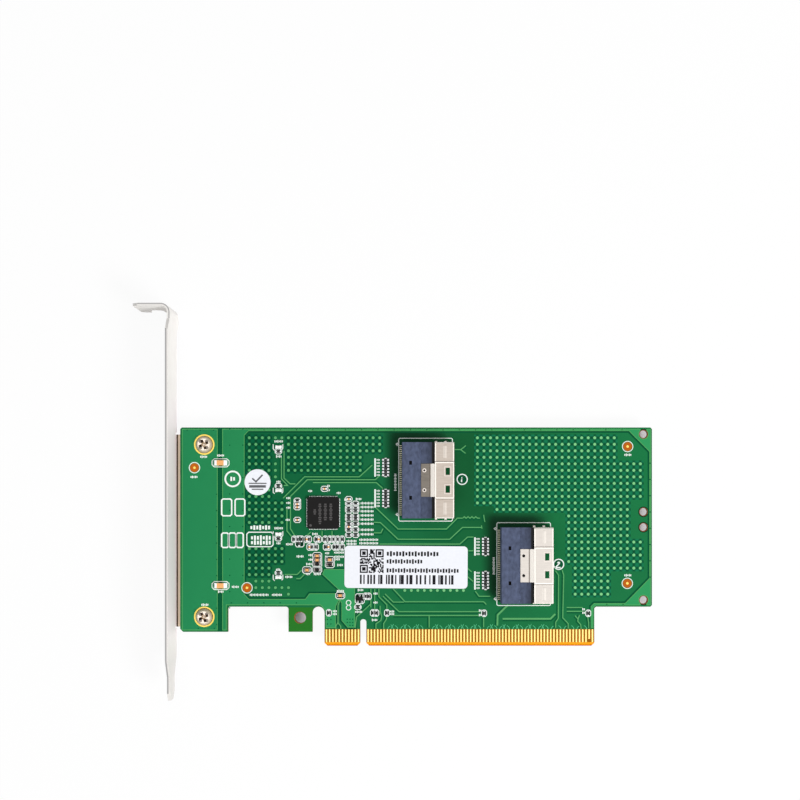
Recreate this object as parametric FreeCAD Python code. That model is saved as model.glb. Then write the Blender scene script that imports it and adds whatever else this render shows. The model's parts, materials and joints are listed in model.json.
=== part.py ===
import FreeCAD, Part
import math
import os

# Bus adapter card with two right-angle cable ports and a slot bracket.
# Millimetres. The origin is the middle of the key notch on the contact edge, halfway through
# the board. +X runs from the bracket to the far end, +Y from the contact edge to the top edge
# and +Z out of the component face.

# Board
BOARD_T = 1.57
BOARD_LEFT = 57.15
BOARD_RIGHT = 90.1
BOARD_HEIGHT = 68.15
BOARD_CORNER = 0.5
EDGE_LIFT = 12.2
FOOT_LIFT = 4.35
FOOT_W = 14.9
FOOT_CORNER = 0.9
HOOK_W = 7.5
HOOK_SLOT_W = 3.75
HOOK_HOLE_D = 3.4
INNER_CORNER = 0.8
TOOLING_D = 2.4
TOOLING_INSET = 2.65
TOOLING_EDGE = 2.1
TOOLING_PAIR_Y = 39.4
TOOLING_PAIR_PITCH = 4.8

# Contact tongues
CONTACT_PITCH = 1.0
CONTACT_W = 0.7
CONTACT_T = 0.05
CONTACT_L = 3.95
CONTACT_SHORT_BY = 1.0
SHORT_COUNT = 11
LONG_COUNT = 71
KEY_W = 1.9
KEY_TOP = 8.3
KEY_TO_CONTACT = 0.55
CONTACT_TO_END = 0.6
TONGUE_CORNER = 0.9
BEVEL_H = 1.15
BEVEL_ANGLE = 20.0

# Slot bracket
SHEET_T = 0.86
BRACKET_GAP = 1.45
BRACKET_W = 18.42
TAB_TOP = 105.6
TAB_REACH = 11.43
TAB_CHAMFER = 1.6
TAB_BEND = 1.9
NECK_W = 18.8
NECK_DROP = 3.95
NECK_L = 8.1
NECK_SLOPE = 3.4
NOTCH_W = 4.42
NOTCH_DEPTH = 6.2
NOTCH_FROM_END = 5.2
SHOULDER_Y = -2.9
SHOULDER_TAPER = 5.6
TIP_L = 7.3
TIP_W = 10.19
TIP_CLIP = 2.4
FLANGE_LEG = 2.2
FLANGE_RELIEF = 0.6
LIP_REACH = 2.6
EAR_W = 7.2
EAR_MARGIN = 3.2
EAR_CORNER = 1.2

# Bracket screws
SCREW_D = 2.9
SCREW_CLEAR = 0.1
SCREW_L = 4.0
SCREW_INSET = 7.5
SCREW_TOP_INSET = 5.35
SCREW_LOW_Y = 9.05
HEAD_D = 5.25
HEAD_H = 1.9
HEAD_RIM_H = 0.7
HEAD_CROWN_D = 3.7
RECESS_W = 0.8
RECESS_TOP = 3.2
RECESS_FOOT = 1.5
RECESS_DEPTH = 1.25
RECESS_TURN = 25.0
BOARD_SCREW_HOLE = 3.2

# Cable ports: rear face and middle of each, then the shared sizes
PORT_1_X = 12.03
PORT_1_TOP_INSET = 16.5
PORT_2_X = 42.65
PORT_2_Y = 25.3
PORT_W = 23.5
HOUSING_L = 9.85
HOUSING_H = 6.2
REAR_L = 5.85
FRONT_DROP = 0.45
HOUSING_CHAMFER = 0.2
PICK_HOLE_L = 0.85
PICK_HOLE_W = 1.2
PICK_HOLE_DEPTH = 1.4
PICK_HOLE_X = 2.7
PICK_HOLE_PITCH = 10.8
NOSE_L = 3.1
NOSE_SIDE_GAP = 1.2
NOSE_LIFT = 0.9
NOSE_H = 4.0
CARD_SLOT_W = 18.8
CARD_SLOT_H = 1.3
CARD_SLOT_DEPTH = 6.0
CARD_SLOT_LEAD_IN = 0.4

HOOD_T = 0.3
HOOD_GAP = 0.35
HOOD_L = 5.9
HOOD_RISE = 0.3
HOOD_RISE_SLOPE = 0.3
HOOD_CENTRE_W = 11.3
HOOD_CORNER = 0.35
HOOD_SKIRT_GAP = 0.5
HOOD_RIB_W = 0.4
HOOD_RIB_L = 4.2
HOOD_RIB_H = 0.12
HOOD_RIB_FROM_MOUTH = 2.75
HOOD_TONGUE_W = 10.2
HOOD_TONGUE_GAP = 0.1
HOOD_RAMP_L = 1.4
WINDOW_L = 1.3
WINDOW_W = 2.2
WINDOW_PITCH = 5.5
WINDOW_FROM_MOUTH = 1.95
HOOD_FOOT_W = 0.7
HOOD_FOOT_L = 0.5
HOOD_FOOT_INSET = 0.1
HOOD_FOOT_PITCH = 3.0

LEAD_COUNT = 37
LEAD_PITCH = 0.6
LEAD_W = 0.24
LEAD_T = 0.16
LEAD_OUT = 0.75
LEAD_NOTCH_L = 0.9
LEAD_NOTCH_H = 0.9

# Buffer chip
CHIP_X = -12.5
CHIP_Y = 41.5
CHIP_SIDE = 10.0
CHIP_H = 0.75
CHIP_CLIP = 0.5
TERMINAL_COUNT = 18
TERMINAL_PITCH = 0.5
TERMINAL_W = 0.26
TERMINAL_IN = 0.45
TERMINAL_OUT = 0.25
TERMINAL_T = 0.2
HEAT_PAD = 7.0

# Chip parts: length, width, height and length of one tinned end
SMALL_RESISTOR = (1.0, 0.52, 0.36, 0.2)
SMALL_CAPACITOR = (1.05, 0.55, 0.5, 0.2)
SUPPLY_PART = (1.6, 0.82, 0.8, 0.28)
BRIDGE_PART = (3.2, 1.6, 1.2, 0.5)
LAMP_PART = (1.6, 0.8, 0.6, 0.36)
END_PROUD = 0.02

# Parts right of the chip: distance of the columns from its side, rows from its middle
RIGHT_COLUMNS = (2.95, 5.1)
RIGHT_ROWS = (2.87, 1.6, 0.75, -0.95, -1.9, -3.4, -5.2, -6.9)
RIGHT_CAPACITOR_ROWS = (4.3, -4.35)

# Parts left of and above the chip
LEFT_COLUMN = 3.1
LEFT_RESISTOR_ROW = 3.8
LEFT_CAPACITOR_ROWS = (2.7, 1.75, -2.2)
TOP_CAPACITOR = (0.4, 2.5)

# Parts below the chip: distance of the rows from its side, columns from its middle
BELOW_ROWS = (3.25, 5.65)
BELOW_RESISTORS = (
    (-4.45, -2.1, 0.6, 2.05, 3.2, 4.5, 5.9),
    (-3.45, -2.3, 0.8, 3.55, 4.5, 5.9),
)
BELOW_CAPACITORS = (
    (-5.15, -1.4),
    (-4.3, 1.65),
)
CORNER_RESISTORS = ((-9.05, 3.25), (-7.9, 3.25), (-6.8, 3.25), (-7.55, 4.6))

# Supply parts, from the chip's middle and its lower side
SUPPLY_CAPACITORS = ((-1.9, 8.4), (-1.9, 9.7), (2.05, 9.65), (-5.05, 12.85), (5.3, 20.8))
FERRITE_BEADS = ((-1.9, 11.0), (-1.9, 12.75), (2.05, 11.1))

# Pull-up resistors near the contact edge, from the origin: one along the edge, the others across
EDGE_RESISTOR_ALONG = (-1.7, 12.1)
EDGE_RESISTORS = ((-10.75, 10.3), (3.0, 10.25), (4.05, 10.25), (7.4, 10.25), (37.7, 10.15), (70.2, 10.15))

# Transistor with its two resistors
TRANSISTOR_X = -1.1
TRANSISTOR_Y = 14.7
TRANSISTOR_BODY = (2.0, 1.28, 0.95)
TRANSISTOR_LIFT = 0.1
TRANSISTOR_LEAD = (0.5, 0.34, 0.14)
TRANSISTOR_LEAD_SPREAD = 0.65
TRANSISTOR_RESISTOR_GAP = 0.8
TRANSISTOR_RESISTOR_PITCH = 1.0
TRANSISTOR_RESISTOR_RISE = 0.75

# Coupling rows, from the rear face and the middle of their port
COUPLING_COUNT = 6
COUPLING_PITCH = 0.95
COUPLING_PORT_1 = ((-5.05, 4.0), (-5.05, -5.65))
COUPLING_PORT_2 = ((-4.5, 5.7), (-4.5, -4.9))

# Bridge capacitors across the groove, from the left edge and from their screw
BRIDGE_X = 12.6
BRIDGE_TOP_DROP = 5.7
BRIDGE_LOW_RISE = 9.75

# Status lamps with their resistors
LAMP_COUNT = 4
LAMP_X = -26.5
LAMP_TOP_INSET = 6.1
LAMP_PITCH = 13.57
LAMP_TO_RESISTOR = 1.4

# Stickers
STICKER_T = 0.12
LABEL_X = 13.35
LABEL_Y = 24.55
LABEL_W = 38.4
LABEL_H = 13.2
LABEL_CORNER = 1.25
LABEL_TURN = -0.4
ROUND_STICKER_D = 8.1
ROUND_STICKER_INSET = 24.15
ROUND_STICKER_DROP = 17.1

# Levels and places that follow from the sizes above
FACE = BOARD_T / 2
CONTACT_LOW = BEVEL_H
CONTACT_HIGH = CONTACT_LOW + CONTACT_L
SHORT_FIRST = -(KEY_W / 2 + KEY_TO_CONTACT + (SHORT_COUNT - 1) * CONTACT_PITCH)
LONG_FIRST = KEY_W / 2 + KEY_TO_CONTACT
SHORT_END = SHORT_FIRST - CONTACT_TO_END
LONG_END = LONG_FIRST + (LONG_COUNT - 1) * CONTACT_PITCH + CONTACT_TO_END
HOOK_RIGHT = SHORT_END - HOOK_SLOT_W
HOOK_LEFT = HOOK_RIGHT - HOOK_W
FOOT_RIGHT = FOOT_W - BOARD_LEFT
HOOK_HOLE_X = (HOOK_LEFT + HOOK_RIGHT) / 2
HOOK_HOLE_Y = (FOOT_LIFT + EDGE_LIFT) / 2 + BOARD_CORNER
SCREW_X = SCREW_INSET - BOARD_LEFT
SCREW_TOP_Y = BOARD_HEIGHT - SCREW_TOP_INSET
PORT_1_Y = BOARD_HEIGHT - PORT_1_TOP_INSET
PORTS = ((PORT_1_X, PORT_1_Y), (PORT_2_X, PORT_2_Y))
FRONT_TOP = FACE + HOUSING_H - FRONT_DROP
HOOD_TOP = FACE + HOUSING_H
HOOD_CENTRE_TOP = HOOD_TOP + HOOD_RISE
STRIP_INNER = -BOARD_LEFT - BRACKET_GAP
STRIP_OUTER = STRIP_INNER - SHEET_T
STRIP_LOW = -FACE - SHEET_T
STRIP_HIGH = STRIP_LOW + BRACKET_W
TAB_END = STRIP_INNER - TAB_REACH
NECK_LOW = STRIP_LOW - NECK_DROP
NECK_HIGH = NECK_LOW + NECK_W
CHIP_LEFT = CHIP_X - CHIP_SIDE / 2
CHIP_RIGHT = CHIP_X + CHIP_SIDE / 2
CHIP_BOTTOM = CHIP_Y - CHIP_SIDE / 2
CHIP_TOP = CHIP_Y + CHIP_SIDE / 2

PLANES = {
    "XY": (FreeCAD.Vector(1, 0, 0), FreeCAD.Vector(0, 1, 0), FreeCAD.Vector(0, 0, 1)),
    "YZ": (FreeCAD.Vector(0, 1, 0), FreeCAD.Vector(0, 0, 1), FreeCAD.Vector(1, 0, 0)),
    "XZ": (FreeCAD.Vector(1, 0, 0), FreeCAD.Vector(0, 0, 1), FreeCAD.Vector(0, 1, 0)),
}
UP = PLANES["XY"][2]
MARGIN = 1.0
CLIPPED = "clipped"


def corner_edge(before, corner, after, size, clipped):
    """Edge that takes the place of one corner: a tangent arc of a radius, or a clip of a length."""
    back = (before - corner).normalize()
    ahead = (after - corner).normalize()
    if clipped:
        return Part.LineSegment(corner + back * size, corner + ahead * size).toShape()
    half = back.getAngle(ahead) / 2
    middle_way = (back + ahead).normalize()
    middle = corner + middle_way * (size / math.sin(half) - size)
    run = size / math.tan(half)
    return Part.Arc(corner + back * run, middle, corner + ahead * run).toShape()


def outline(corners, plane):
    """Closed wire through corners (a, b), (a, b, radius) or (a, b, size, CLIPPED) in a main plane."""
    along, across, _ = PLANES[plane]
    points = [along * c[0] + across * c[1] for c in corners]
    edges = []
    stops = []
    for i, corner in enumerate(corners):
        if len(corner) == 2:
            stops.append((points[i], points[i]))
            continue
        following = points[(i + 1) % len(points)]
        edge = corner_edge(points[i - 1], points[i], following, corner[2], CLIPPED in corner[3:])
        edges.append(edge)
        stops.append((edge.firstVertex().Point, edge.lastVertex().Point))
    for i, stop in enumerate(stops):
        following = stops[(i + 1) % len(stops)][0]
        if stop[1].distanceToPoint(following) > 1e-6:
            edges.append(Part.LineSegment(stop[1], following).toShape())
    return Part.Wire(Part.__sortEdges__(edges))


def prism(corners, plane, low, high):
    """Solid of an outline, between two levels across its plane."""
    through = PLANES[plane][2]
    face = Part.Face(outline(corners, plane))
    face.translate(through * low)
    return face.extrude(through * (high - low))


def block(x_span, y_span, z_span):
    """Box between the two ends of each span."""
    low = [min(span) for span in (x_span, y_span, z_span)]
    size = [max(span) - min(span) for span in (x_span, y_span, z_span)]
    return Part.makeBox(size[0], size[1], size[2], FreeCAD.Vector(low[0], low[1], low[2]))


def about(middle, width):
    """Span of a width about its middle."""
    return middle - width / 2, middle + width / 2


def rod(x, y, z_span, diameter):
    """Upright cylinder."""
    base = FreeCAD.Vector(x, y, min(z_span))
    return Part.makeCylinder(diameter / 2, max(z_span) - min(z_span), base)


def board_outline():
    """Corners of the board, anticlockwise from the left foot."""
    key = KEY_W / 2
    slot_round = HOOK_SLOT_W / 2
    return [
        (-BOARD_LEFT, FOOT_LIFT, FOOT_CORNER, CLIPPED),
        (FOOT_RIGHT, FOOT_LIFT),
        (FOOT_RIGHT, EDGE_LIFT, INNER_CORNER),
        (HOOK_LEFT, EDGE_LIFT, INNER_CORNER),
        (HOOK_LEFT, FOOT_LIFT),
        (HOOK_RIGHT, FOOT_LIFT),
        (HOOK_RIGHT, EDGE_LIFT, slot_round),
        (SHORT_END, EDGE_LIFT, slot_round),
        (SHORT_END, 0, TONGUE_CORNER, CLIPPED),
        (-key, 0, TONGUE_CORNER, CLIPPED),
        (-key, KEY_TOP, key),
        (key, KEY_TOP, key),
        (key, 0, TONGUE_CORNER, CLIPPED),
        (LONG_END, 0, TONGUE_CORNER, CLIPPED),
        (LONG_END, EDGE_LIFT, BOARD_CORNER, CLIPPED),
        (BOARD_RIGHT, EDGE_LIFT, BOARD_CORNER, CLIPPED),
        (BOARD_RIGHT, BOARD_HEIGHT, BOARD_CORNER, CLIPPED),
        (-BOARD_LEFT, BOARD_HEIGHT, BOARD_CORNER, CLIPPED),
    ]


def bevel_profile():
    """Section of the board from contact edge to top edge, with both bevels."""
    land = FACE - BEVEL_H * math.tan(math.radians(BEVEL_ANGLE))
    high = BOARD_HEIGHT + MARGIN
    return [(0, land), (BEVEL_H, FACE), (high, FACE), (high, -FACE), (BEVEL_H, -FACE), (0, -land)]


def tooling_holes():
    """Drilled holes along the far edge."""
    x = BOARD_RIGHT - TOOLING_INSET
    rows = (
        BOARD_HEIGHT - TOOLING_EDGE,
        TOOLING_PAIR_Y + TOOLING_PAIR_PITCH / 2,
        TOOLING_PAIR_Y - TOOLING_PAIR_PITCH / 2,
        EDGE_LIFT + TOOLING_EDGE,
    )
    return [(x, y, TOOLING_D) for y in rows]


def make_board():
    """Laminate with its outline, bevelled contact edge and drilled holes."""
    solid = prism(board_outline(), "XY", -FACE, FACE)
    solid = solid.common(prism(bevel_profile(), "YZ", -BOARD_LEFT - MARGIN, BOARD_RIGHT + MARGIN))
    holes = tooling_holes()
    holes.append((HOOK_HOLE_X, HOOK_HOLE_Y, HOOK_HOLE_D))
    holes += [(SCREW_X, y, BOARD_SCREW_HOLE) for y in (SCREW_LOW_Y, SCREW_TOP_Y)]
    depth = (-FACE - MARGIN, FACE + MARGIN)
    return solid.cut([rod(x, y, depth, d) for x, y, d in holes])


def contact_row(first, count, side, short_index=None):
    """Gold contacts of one tongue on one side; the presence contact stops short of the edge."""
    z_span = (side * FACE, side * (FACE + CONTACT_T))
    contacts = []
    for i in range(count):
        low = CONTACT_LOW
        if i == short_index:
            low += CONTACT_SHORT_BY
        x_span = about(first + i * CONTACT_PITCH, CONTACT_W)
        contacts.append(block(x_span, (low, CONTACT_HIGH), z_span))
    return Part.makeCompound(contacts)


def bracket_face():
    """Front outline of the bracket: tip, shoulders, strip and the offset neck."""
    middle = (STRIP_LOW + STRIP_HIGH) / 2
    tip_low, tip_high = about(middle, TIP_W)
    tip_start = SHOULDER_Y - SHOULDER_TAPER
    tip_end = tip_start - TIP_L
    neck_full = TAB_TOP - NECK_L + NECK_SLOPE
    neck_start = TAB_TOP - NECK_L
    top = TAB_TOP + MARGIN
    return [
        (tip_end, tip_low, TIP_CLIP, CLIPPED),
        (tip_start, tip_low),
        (SHOULDER_Y, STRIP_LOW),
        (neck_start, STRIP_LOW),
        (neck_full, NECK_LOW),
        (top, NECK_LOW),
        (top, NECK_HIGH),
        (neck_full, NECK_HIGH),
        (neck_start, STRIP_HIGH),
        (SHOULDER_Y, STRIP_HIGH),
        (tip_start, tip_high),
        (tip_end, tip_high, TIP_CLIP, CLIPPED),
    ]


def bracket_side():
    """Edge view of the sheet: the strip and the tab bent outwards at its top."""
    low = SHOULDER_Y - SHOULDER_TAPER - TIP_L - MARGIN
    return [
        (STRIP_INNER, low),
        (STRIP_INNER, TAB_TOP, TAB_BEND + SHEET_T),
        (TAB_END, TAB_TOP),
        (TAB_END, TAB_TOP - SHEET_T),
        (STRIP_OUTER, TAB_TOP - SHEET_T, TAB_BEND),
        (STRIP_OUTER, low),
    ]


def tab_cuts():
    """Screw notch from the solder side and the two clipped corners of the tab."""
    levels = (TAB_TOP - SHEET_T - MARGIN, TAB_TOP + MARGIN)
    left, right = about(TAB_END + NOTCH_FROM_END, NOTCH_W)
    deep = NECK_LOW + NOTCH_DEPTH
    notch = [(left, NECK_LOW - MARGIN), (right, NECK_LOW - MARGIN)]
    notch += [(right, deep, NOTCH_W / 2), (left, deep, NOTCH_W / 2)]
    cuts = [prism(notch, "XZ", *levels)]
    for level, way in ((NECK_LOW, 1), (NECK_HIGH, -1)):
        clip = [(TAB_END, level), (TAB_END + TAB_CHAMFER, level), (TAB_END, level + way * TAB_CHAMFER)]
        cuts.append(prism(clip, "XZ", *levels))
    return cuts


def flange():
    """Lip bent under the board with an ear at each screw."""
    low = SCREW_LOW_Y - EAR_MARGIN
    high = SCREW_TOP_Y + EAR_MARGIN
    ear_end = SCREW_X + EAR_MARGIN
    lip_end = -BOARD_LEFT + LIP_REACH
    back = STRIP_OUTER - MARGIN
    section = [
        (STRIP_OUTER, STRIP_LOW, SHEET_T),
        (ear_end, STRIP_LOW),
        (ear_end, -FACE),
        (STRIP_INNER, -FACE),
        (STRIP_INNER, STRIP_LOW + FLANGE_LEG),
        (STRIP_OUTER, STRIP_LOW + FLANGE_LEG),
    ]
    plan = [
        (back, low),
        (ear_end, low, EAR_CORNER, CLIPPED),
        (ear_end, low + EAR_W, EAR_CORNER, CLIPPED),
        (lip_end, low + EAR_W),
        (lip_end, high - EAR_W),
        (ear_end, high - EAR_W, EAR_CORNER, CLIPPED),
        (ear_end, high, EAR_CORNER, CLIPPED),
        (back, high),
    ]
    levels = (STRIP_LOW - MARGIN, STRIP_HIGH)
    solid = prism(section, "XZ", low, high).common(prism(plan, "XY", *levels))
    holes = [rod(SCREW_X, y, levels, SCREW_D + SCREW_CLEAR) for y in (SCREW_LOW_Y, SCREW_TOP_Y)]
    return solid.cut(holes)


def make_bracket():
    """One folded sheet: strip, tab, tapered foot and the flange under the board."""
    sheet = prism(bracket_side(), "XY", NECK_LOW - MARGIN, STRIP_HIGH + MARGIN)
    sheet = sheet.common(prism(bracket_face(), "YZ", TAB_END - MARGIN, STRIP_INNER + MARGIN))
    sheet = sheet.cut(tab_cuts())
    relief_y = (SCREW_LOW_Y - EAR_MARGIN - FLANGE_RELIEF, SCREW_TOP_Y + EAR_MARGIN + FLANGE_RELIEF)
    relief_x = (STRIP_OUTER - MARGIN, STRIP_INNER + MARGIN)
    sheet = sheet.cut(block(relief_x, relief_y, (STRIP_LOW - MARGIN, STRIP_LOW + FLANGE_LEG)))
    return sheet.fuse(flange()).removeSplitter()


def screw_recess(top):
    """Cross recess: two tapered wings at right angles."""
    wing = [
        (-RECESS_TOP / 2, top),
        (RECESS_TOP / 2, top),
        (RECESS_FOOT / 2, top - RECESS_DEPTH),
        (-RECESS_FOOT / 2, top - RECESS_DEPTH),
    ]
    first = prism(wing, "XZ", -RECESS_W / 2, RECESS_W / 2)
    second = first.copy()
    second.rotate(FreeCAD.Vector(), UP, 90)
    cross = first.fuse(second)
    cross.rotate(FreeCAD.Vector(), UP, RECESS_TURN)
    return cross


def make_screws():
    """Pan-head screws that clamp the board to the bracket's ears."""
    seat = FACE
    tip = seat - SCREW_L
    profile = [
        (0, tip),
        (SCREW_D / 2, tip),
        (SCREW_D / 2, seat),
        (HEAD_D / 2, seat),
        (HEAD_D / 2, seat + HEAD_RIM_H),
        (HEAD_CROWN_D / 2, seat + HEAD_H),
        (0, seat + HEAD_H),
    ]
    screw = Part.Face(outline(profile, "XZ")).revolve(FreeCAD.Vector(), UP, 360)
    screw = screw.cut(screw_recess(seat + HEAD_H))
    screws = []
    for y in (SCREW_LOW_Y, SCREW_TOP_Y):
        placed = screw.copy()
        placed.translate(FreeCAD.Vector(SCREW_X, y, 0))
        screws.append(placed)
    return Part.makeCompound(screws)


def housing_side(x):
    """Edge view of a port housing: high rear block and lower front."""
    top = FACE + HOUSING_H
    front = x + HOUSING_L
    return [
        (x, FACE),
        (front, FACE),
        (front, FRONT_TOP),
        (x + REAR_L, FRONT_TOP),
        (x + REAR_L, top - HOUSING_CHAMFER),
        (x + REAR_L - HOUSING_CHAMFER, top),
        (x + HOUSING_CHAMFER, top),
        (x, top - HOUSING_CHAMFER),
    ]


def card_slot(x, y):
    """Slot in the nose for the plug's card, with a bevelled mouth."""
    mouth = x + HOUSING_L + NOSE_L
    middle = FACE + NOSE_LIFT + NOSE_H / 2
    low, high = about(middle, CARD_SLOT_H)
    lead = CARD_SLOT_LEAD_IN
    section = [
        (mouth - CARD_SLOT_DEPTH, low),
        (mouth - lead, low),
        (mouth + lead, low - 2 * lead),
        (mouth + lead, high + 2 * lead),
        (mouth - lead, high),
        (mouth - CARD_SLOT_DEPTH, high),
    ]
    return prism(section, "XZ", *about(y, CARD_SLOT_W))


def make_housing(port):
    """Moulded port body: stepped top, nose with card slot, lead recess and pick holes."""
    x, y = port
    body = prism(housing_side(x), "XZ", *about(y, PORT_W))
    front = x + HOUSING_L
    nose_z = (FACE + NOSE_LIFT, FACE + NOSE_LIFT + NOSE_H)
    nose = block((front, front + NOSE_L), about(y, PORT_W - 2 * HOOD_T - 2 * NOSE_SIDE_GAP), nose_z)
    body = body.fuse(nose)
    row_w = LEAD_COUNT * LEAD_PITCH
    cuts = [card_slot(x, y)]
    cuts.append(block((x - MARGIN, x + LEAD_NOTCH_L), about(y, row_w), (FACE - MARGIN, FACE + LEAD_NOTCH_H)))
    top = FACE + HOUSING_H
    for side in (-1, 1):
        hole_y = about(y + side * PICK_HOLE_PITCH / 2, PICK_HOLE_W)
        hole_x = about(x + PICK_HOLE_X, PICK_HOLE_L)
        cuts.append(block(hole_x, hole_y, (top - PICK_HOLE_DEPTH, top + MARGIN)))
    return body.cut(cuts).removeSplitter()


def hood_section(y):
    """Arch of the hood across the mouth, with its raised middle."""
    half = PORT_W / 2
    crown = HOOD_CENTRE_W / 2
    inner = half - HOOD_T
    skirt = FACE + HOOD_SKIRT_GAP
    foot = crown + HOOD_RISE_SLOPE
    outside = [
        (half, skirt),
        (half, HOOD_TOP, HOOD_CORNER, CLIPPED),
        (foot, HOOD_TOP),
        (crown, HOOD_CENTRE_TOP),
    ]
    inside = [
        (crown, HOOD_CENTRE_TOP - HOOD_T),
        (foot, HOOD_TOP - HOOD_T),
        (inner, HOOD_TOP - HOOD_T),
        (inner, skirt),
    ]
    right_outside = [(y + c[0],) + c[1:] for c in outside]
    left_outside = [(y - c[0],) + c[1:] for c in reversed(outside)]
    left_inside = [(y - c[0],) + c[1:] for c in reversed(inside)]
    right_inside = [(y + c[0],) + c[1:] for c in inside]
    return right_outside + left_outside + left_inside + right_inside


def hood_tongue(x, y):
    """Strap from the hood's rear edge down onto the housing's front, up to its rear block."""
    rear = x + HOUSING_L + HOOD_GAP
    start = x + REAR_L + HOOD_TONGUE_GAP
    ramp = rear - HOOD_RAMP_L
    strap = [
        (start, FRONT_TOP),
        (ramp, FRONT_TOP),
        (rear, HOOD_CENTRE_TOP - HOOD_T),
        (rear, HOOD_CENTRE_TOP),
        (ramp, FRONT_TOP + HOOD_T),
        (start, FRONT_TOP + HOOD_T),
    ]
    return prism(strap, "XZ", *about(y, HOOD_TONGUE_W))


def hood_feet(x, y):
    """Solder feet: short legs under the skirt, bent outwards on the board."""
    half = PORT_W / 2
    inner = half - HOOD_T
    leg = [
        (inner, FACE),
        (half + HOOD_FOOT_L, FACE),
        (half + HOOD_FOOT_L, FACE + HOOD_T),
        (half, FACE + HOOD_T),
        (half, FACE + HOOD_SKIRT_GAP),
        (inner, FACE + HOOD_SKIRT_GAP),
    ]
    rear = x + HOUSING_L + HOOD_GAP
    feet = []
    for start in (rear + HOOD_FOOT_INSET, rear + HOOD_FOOT_INSET + HOOD_FOOT_PITCH):
        for side in (-1, 1):
            corners = [(y + side * a, b) for a, b in leg]
            feet.append(prism(corners, "YZ", start, start + HOOD_FOOT_W))
    return feet


def make_hood(port):
    """Folded steel hood round the mouth of a port."""
    x, y = port
    rear = x + HOUSING_L + HOOD_GAP
    mouth = rear + HOOD_L
    hood = prism(hood_section(y), "YZ", rear, mouth)
    extras = [hood_tongue(x, y)] + hood_feet(x, y)
    shoulder = (HOOD_CENTRE_W / 2 + HOOD_RISE_SLOPE + PORT_W / 2) / 2
    for side in (-1, 1):
        rib_x = about(mouth - HOOD_RIB_FROM_MOUTH, HOOD_RIB_W)
        rib_y = about(y + side * shoulder, HOOD_RIB_L)
        extras.append(block(rib_x, rib_y, (HOOD_TOP, HOOD_TOP + HOOD_RIB_H)))
    hood = hood.fuse(extras)
    windows = []
    for window_y in about(y, WINDOW_PITCH):
        span_x = about(mouth - WINDOW_FROM_MOUTH, WINDOW_L)
        levels = (HOOD_TOP - MARGIN, HOOD_CENTRE_TOP + MARGIN)
        windows.append(block(span_x, about(window_y, WINDOW_W), levels))
    return hood.cut(windows).removeSplitter()


def make_leads(port):
    """Row of flat solder leads, from behind a port up to the back of its recess."""
    x, y = port
    x_span = (x - LEAD_OUT, x + LEAD_NOTCH_L)
    z_span = (FACE, FACE + LEAD_T)
    first = y - (LEAD_COUNT - 1) * LEAD_PITCH / 2
    leads = [block(x_span, about(first + i * LEAD_PITCH, LEAD_W), z_span) for i in range(LEAD_COUNT)]
    return Part.makeCompound(leads)


def make_chip_body():
    """Moulded block of the buffer chip with clipped corners, on top of its terminals."""
    half = CHIP_SIDE / 2
    clip = half - CHIP_CLIP
    corners = [(half, -clip), (half, clip), (clip, half), (-clip, half)]
    corners += [(-a, -b) for a, b in corners]
    corners = [(CHIP_X + a, CHIP_Y + b) for a, b in corners]
    return prism(corners, "XY", FACE + TERMINAL_T, FACE + TERMINAL_T + CHIP_H)


def make_chip_terminals():
    """Terminals along the four sides of the buffer chip and the heat pad under it."""
    level = (FACE, FACE + TERMINAL_T)
    half = CHIP_SIDE / 2
    reach = (half - TERMINAL_IN, half + TERMINAL_OUT)
    middle = FreeCAD.Vector(CHIP_X, CHIP_Y, 0)
    pads = [block(about(CHIP_X, HEAT_PAD), about(CHIP_Y, HEAT_PAD), level)]
    for i in range(TERMINAL_COUNT):
        along = (i - (TERMINAL_COUNT - 1) / 2) * TERMINAL_PITCH
        for turn in (0, 90, 180, 270):
            pad = block(reach, about(along, TERMINAL_W), level)
            pad.rotate(FreeCAD.Vector(), UP, turn)
            pad.translate(middle)
            pads.append(pad)
    return Part.makeCompound(pads)


def chip_part(place, size, upright):
    """Body and two tinned ends of a chip part, lying along X or standing along Y."""
    length, width, height, end = size
    body_l = length - 2 * end
    body = block(about(0, body_l), about(0, width - 2 * END_PROUD), (FACE, FACE + height - END_PROUD))
    pieces = [body]
    for side in (-1, 1):
        reach = (side * body_l / 2, side * length / 2)
        pieces.append(block(reach, about(0, width), (FACE, FACE + height)))
    for piece in pieces:
        if upright:
            piece.rotate(FreeCAD.Vector(), UP, 90)
        piece.translate(FreeCAD.Vector(place[0], place[1], 0))
    return pieces[0], pieces[1:]


def chip_parts(size, lying=(), upright=()):
    """Bodies and tinned ends of a set of like chip parts."""
    bodies = []
    ends = []
    for places, turned in ((lying, False), (upright, True)):
        for place in places:
            body, pair = chip_part(place, size, turned)
            bodies.append(body)
            ends += pair
    return Part.makeCompound(bodies), Part.makeCompound(ends)


def lamp_places():
    """Status lamps down the left field, and the resistor of each."""
    lamps = []
    resistors = []
    for i in range(LAMP_COUNT):
        y = BOARD_HEIGHT - LAMP_TOP_INSET - i * LAMP_PITCH
        lamps.append((LAMP_X, y))
        side = 1 if i % 2 else -1
        resistors.append((LAMP_X, y + side * LAMP_TO_RESISTOR))
    return lamps, resistors


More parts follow.
